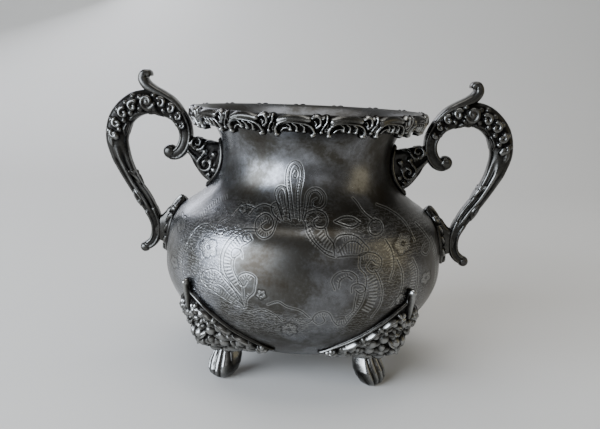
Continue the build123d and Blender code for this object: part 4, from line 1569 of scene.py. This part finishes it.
@dataclass
class Foot:
    """One cast foot: a reeded leg turned out at the sole, under an apron of flowers and leaves."""

    profile: WallProfile
    name: str
    azimuth: float
    half_width: float = 25.5
    columns: int = 256
    rows: int = 130
    back_rows: int = 10
    leg_columns: int = 128
    reeds: int = 4
    lift: float = 0.45
    relief_rise: float = 2.6
    leg_stations: tuple[tuple[float, float, float, float], ...] = (
        (0.0, 45.8, 5.6, 4.6), (0.5, 45.8, 7.8, 6.4), (1.5, 45.7, 10.0, 8.0), (3.5, 45.2, 12.4, 9.8),
        (6.5, 44.1, 13.4, 10.4), (9.5, 42.9, 12.2, 9.8), (12.0, 42.1, 10.6, 9.0), (15.0, 42.2, 10.0, 8.8),
        (19.0, 43.2, 10.0, 9.0),
    )

    def placed(self, points: np.ndarray) -> np.ndarray:
        """Turn points to the foot's own direction.

        Args:
            points: Radial places, sideways places and heights.

        Returns:
            The same points as X, Y and Z.
        """
        cos = math.cos(self.azimuth)
        sin = math.sin(self.azimuth)
        radial, sideways, height = (points[..., axis] for axis in range(3))
        return np.stack([radial * cos - sideways * sin, radial * sin + sideways * cos, height], axis=-1)

    def leg(self) -> Surface:
        """Stack level sections: a superellipse with rounded reeds standing on its front and back.

        Returns:
            A closed surface.
        """
        stations = np.array(self.leg_stations)
        height = np.concatenate([np.linspace(0, 1.5, 10), np.linspace(1.8, 19, 60)])
        radial, width, depth = (np.interp(height, stations[:, 0], stations[:, k]) for k in (1, 2, 3))
        turn = np.linspace(0, 2 * math.pi, self.leg_columns, endpoint=False)
        across = np.sign(np.sin(turn)) * np.abs(np.sin(turn)) ** 0.72
        out = np.sign(np.cos(turn)) * np.abs(np.cos(turn)) ** 0.72
        slant = 0.028 * (height[:, None] - 6)
        reed = np.abs(np.sin(0.5 * math.pi * self.reeds * (across + 1 + slant)))
        grow = np.clip(height / 1.0, 0, 1)[:, None]
        raised = 1.7 * (reed**0.7 - 0.6) * np.abs(out) ** 0.5 * grow * np.clip(width / 11, 0.4, 1)[:, None]
        points = np.stack([radial[:, None] + 0.5 * depth[:, None] * out + raised * np.sign(out),
                           0.5 * width[:, None] * across,
                           np.broadcast_to(height[:, None], (len(height), self.leg_columns))], axis=-1)
        # Painted highlight on the reeds' ridges and painted shade in the grooves between them.
        wear = np.broadcast_to(0.18 + 0.66 * reed, points.shape[:2])
        points, wear = seated(points[::-1], wear[::-1], self.profile)
        return ring_surface(self.placed(points[::-1]), {"wear": wear[::-1]})

    def ornament(self, sideways: np.ndarray, height: np.ndarray) -> Relief:
        """Lay the apron's flowers, leaves, beads and strap.

        Args:
            sideways: Places across the apron.
            height: Heights.

        Returns:
            The ornament.
        """
        relief = Relief(sideways, height, np.zeros(sideways.shape))
        rise = self.relief_rise
        for half in (-1, 1):
            for u, z, radius, turn in APRON_FLOWERS:
                relief.flower(half * u, z, radius, rise, 5, turn)
            for u, z, radius in APRON_BEADS:
                relief.bead(half * u, z, radius, 0.9 * rise)
            for points, width in APRON_LEAVES:
                relief.leaf(smooth_line([(half * a, b) for a, b in points], 14), width, 0.95 * rise)
            strap = smooth_line([(half * a, b) for a, b in APRON_STRAP], 50)
            relief.stroke(strap, 1.0, 0.22 * rise, 0.2)
        stalk = smooth_line([(0.0, 36.0), (0.2, 40.0), (0.0, 44.0), (0.0, 46.0)], 26)
        relief.stroke(stalk, 2.2, 0.7 * rise)
        relief.bead(0.0, 45.8, 1.5, 0.9 * rise)
        relief.flower(0.0, 20.4, 2.6, 1.2 * rise, 6)
        return relief

    def apron(self) -> Surface:
        """Lay the apron against the wall, raised by the ornament.

        Its columns run from its lower edge to its upper edge. Near its middle it stands off the wall as a
        knee over the leg: the stand-off follows the height and dies away sideways as a bell curve.

        Returns:
            A closed surface.
        """
        u = np.linspace(-self.half_width, self.half_width, self.columns)
        top = np.interp(np.abs(u), *zip(*APRON_TOP))
        low = np.interp(np.abs(u), *zip(*APRON_FOOT))
        low += 0.6 * np.cos(2 * math.pi * np.abs(u) / 4.2) * np.clip(np.abs(u) / 4, 0, 1)
        share = np.linspace(0, 1, self.rows)
        height = low[:, None] + (top - low)[:, None] * share
        sideways = np.broadcast_to(u[:, None], height.shape)
        relief = self.ornament(sideways, height).height
        knee = np.interp(height, *zip(*APRON_KNEE))
        bell = np.exp(-(sideways / 9.0) ** 2)
        edge = self.lift * np.minimum(bump(share * 2 - 1, 1.0) * 2.2, 1.0)[None, :] + 0.2
        radius = self.profile.at_height(height)[0]
        turned = self.azimuth + np.arcsin(np.clip(sideways / radius, -0.98, 0.98))
        front = self.profile.on_wall(turned, height, edge + relief, knee * bell)
        few = np.linspace(self.rows - 1, 0, self.back_rows).astype(int)
        back = self.profile.on_wall(turned[:, few], height[:, few],
                                    np.full((self.columns, self.back_rows), -0.3),
                                    np.maximum(knee * bell - 2.0, 0)[:, few])
        rings = np.concatenate([front, back], axis=1)
        # A strong contrast: painted highlight on the lumps and painted shade round them, over the cast
        # tarnish and rubbing.
        wear = wear_and_shade_marks(relief, 0.42, 0.72)["wear"]
        return ring_surface(rings, {"wear": np.concatenate([wear, np.full(back.shape[:2], 0.05)], axis=1)})

    def build(self, finish: bpy.types.Material) -> None:
        """Make the leg and the apron.

        Args:
            finish: The cast plate's material.
        """
        make_piece(f"foot_{self.name}_reeded_leg", [self.leg()], finish,
                   (f"foot_{self.name}_leg",))
        make_piece(f"foot_{self.name}_flower_apron", [self.apron()], finish,
                   (f"foot_{self.name}_apron",))


# ------------------------------------------------------------------ the studio


class Light(Enum):
    """The studio's soft boxes."""

    KEY = "key"
    FRONT = "front"
    FILL = "fill"
    TOP = "top"
    BACK = "back"


@dataclass(frozen=True)
class SoftBox:
    """One rectangular light: where it stands, what it faces, its size in metres, power and colour."""

    place: tuple[float, float, float]
    target: tuple[float, float, float]
    size: tuple[float, float]
    watts: float
    colour: str


@dataclass
class Studio:
    """A plain pale floor, soft boxes, an even surround and the camera."""

    distance: float = 293.6
    height: float = 126.5
    azimuth: float = 1.49
    pan: float = 0.413
    down: float = 11.62
    roll: float = 2.23
    lens: float = 38.87
    floor_colour: str = "c9c7c2"
    surround_colour: str = "e8e6e1"
    surround: float = 0.36
    boxes: dict[Light, SoftBox] = field(default_factory=lambda: {
        Light.KEY: SoftBox((-0.88, -0.70, 0.33), (0.0, 0.0, 0.07), (1.1, 0.80), 42.0, "e6f0ff"),
        Light.FRONT: SoftBox((0.45, -1.05, 0.50), (0.0, 0.0, 0.06), (0.5, 0.4), 0.6, "f6f9ff"),
        Light.FILL: SoftBox((1.0, -0.25, 0.35), (0.0, 0.0, 0.06), (0.5, 0.9), 1.4, "efe0b4"),
        Light.TOP: SoftBox((0.0, 0.1, 1.2), (0.0, 0.0, 0.06), (0.9, 0.9), 7.0, "ffffff"),
        Light.BACK: SoftBox((-0.6, 0.95, 0.55), (0.0, 0.0, 0.08), (0.8, 0.5), 5.0, "eef2ff"),
    })

    def camera(self) -> None:
        """Place the camera by its distance from the axis, its height and its four angles."""
        across = math.radians(self.azimuth)
        heading = across + math.radians(self.pan)
        down = math.radians(self.down)
        roll = math.radians(self.roll)
        place = Vector((self.distance * math.sin(across), -self.distance * math.cos(across),
                        self.height)) * MM
        level = Vector((-math.sin(heading), math.cos(heading), 0.0))
        right = Vector((math.cos(heading), math.sin(heading), 0.0))
        forward = level * math.cos(down) - Vector((0, 0, 1)) * math.sin(down)
        above = level * math.sin(down) + Vector((0, 0, 1)) * math.cos(down)
        rolled = right * math.cos(roll) + above * math.sin(roll)
        upright = above * math.cos(roll) - right * math.sin(roll)
        data = bpy.data.cameras.new("studio_camera")
        data.lens = self.lens
        data.sensor_width = 36.0
        data.clip_start = 0.01
        camera = bpy.data.objects.new("studio_camera", data)
        matrix = Matrix((rolled, upright, -forward)).transposed().to_4x4()
        matrix.translation = place
        camera.matrix_world = matrix
        bpy.context.scene.collection.objects.link(camera)
        bpy.context.scene.camera = camera

    def floor(self) -> None:
        """Lay a wide floor that sweeps up behind: level, then a quarter round, then upright."""
        curl = np.linspace(0, 0.5 * math.pi, 49)[1:]
        run = np.concatenate([np.linspace(-2.5, 0.5, 8), 0.5 + 0.9 * np.sin(curl), [1.4]])
        rise = np.concatenate([np.zeros(8), 0.9 * (1 - np.cos(curl)), [3.5]])
        across = np.array([-3.0, 3.0])
        points = np.stack(np.broadcast_arrays(across, run[:, None], rise[:, None]), axis=-1)
        index = np.arange(points.shape[0] * 2).reshape(-1, 2)
        faces = np.stack([index[:-1, 0], index[:-1, 1], index[1:, 1], index[1:, 0]], axis=-1)
        mesh = bpy.data.meshes.new("studio_floor")
        mesh.from_pydata(points.reshape(-1, 3).tolist(), [], faces.tolist())
        mesh.polygons.foreach_set("use_smooth", np.ones(len(faces), dtype=bool))
        material = bpy.data.materials.new("matt_paper_sweep")
        material.use_nodes = True
        shader = material.node_tree.nodes["Principled BSDF"]
        shader.inputs["Base Color"].default_value = linear(self.floor_colour)
        shader.inputs["Roughness"].default_value = 0.8
        mesh.materials.append(material)
        sweep = bpy.data.objects.new("studio_floor", mesh)
        bpy.context.scene.collection.objects.link(sweep)

    def lights(self) -> None:
        """Hang the soft boxes and set the surround."""
        for kind, box in self.boxes.items():
            data = bpy.data.lights.new(f"{kind.value}_light", "AREA")
            data.shape = "RECTANGLE"
            data.size, data.size_y = box.size
            data.energy = box.watts
            data.color = linear(box.colour)[:3]
            lamp = bpy.data.objects.new(f"{kind.value}_light", data)
            lamp.location = box.place
            facing = Vector(box.target) - Vector(box.place)
            lamp.rotation_euler = facing.to_track_quat("-Z", "Y").to_euler()
            bpy.context.scene.collection.objects.link(lamp)
        world = bpy.data.worlds.new("even_surround")
        world.use_nodes = True
        background = world.node_tree.nodes["Background"]
        background.inputs["Color"].default_value = linear(self.surround_colour)
        background.inputs["Strength"].default_value = self.surround
        bpy.context.scene.world = world

    def build(self) -> None:
        """Set up the camera, the floor and the lights."""
        self.camera()
        self.floor()
        self.lights()


# ------------------------------------------------------------------ the whole bowl


def main() -> None:
    """Build each sub-assembly in order and report it."""
    logging.basicConfig(level=logging.INFO, format="%(message)s")
    engraved = SpunSilverPlate("tarnished_silver_plate_engraved").material()
    plain = SpunSilverPlate("tarnished_silver_plate_spun", engraved=False).material()
    border_cast = CastSilverPlate("cast_silver_plate_border").material()
    handle_cast = CastSilverPlate("cast_silver_plate_handles").material()
    foot_cast = CastSilverPlate("cast_silver_plate_feet").material()
    profile = WallProfile()
    SpunBody(profile).build(engraved, plain)
    RimBorder(profile).build(border_cast)
    for side in (1, -1):
        Handle(profile, side).build(handle_cast)
    for name, degrees in (("back_right", 45), ("back_left", 135), ("front_left", 225),
                          ("front_right", 315)):
        Foot(profile, name, math.radians(degrees)).build(foot_cast)
    Studio().build()


if __name__ == "__main__":
    main()
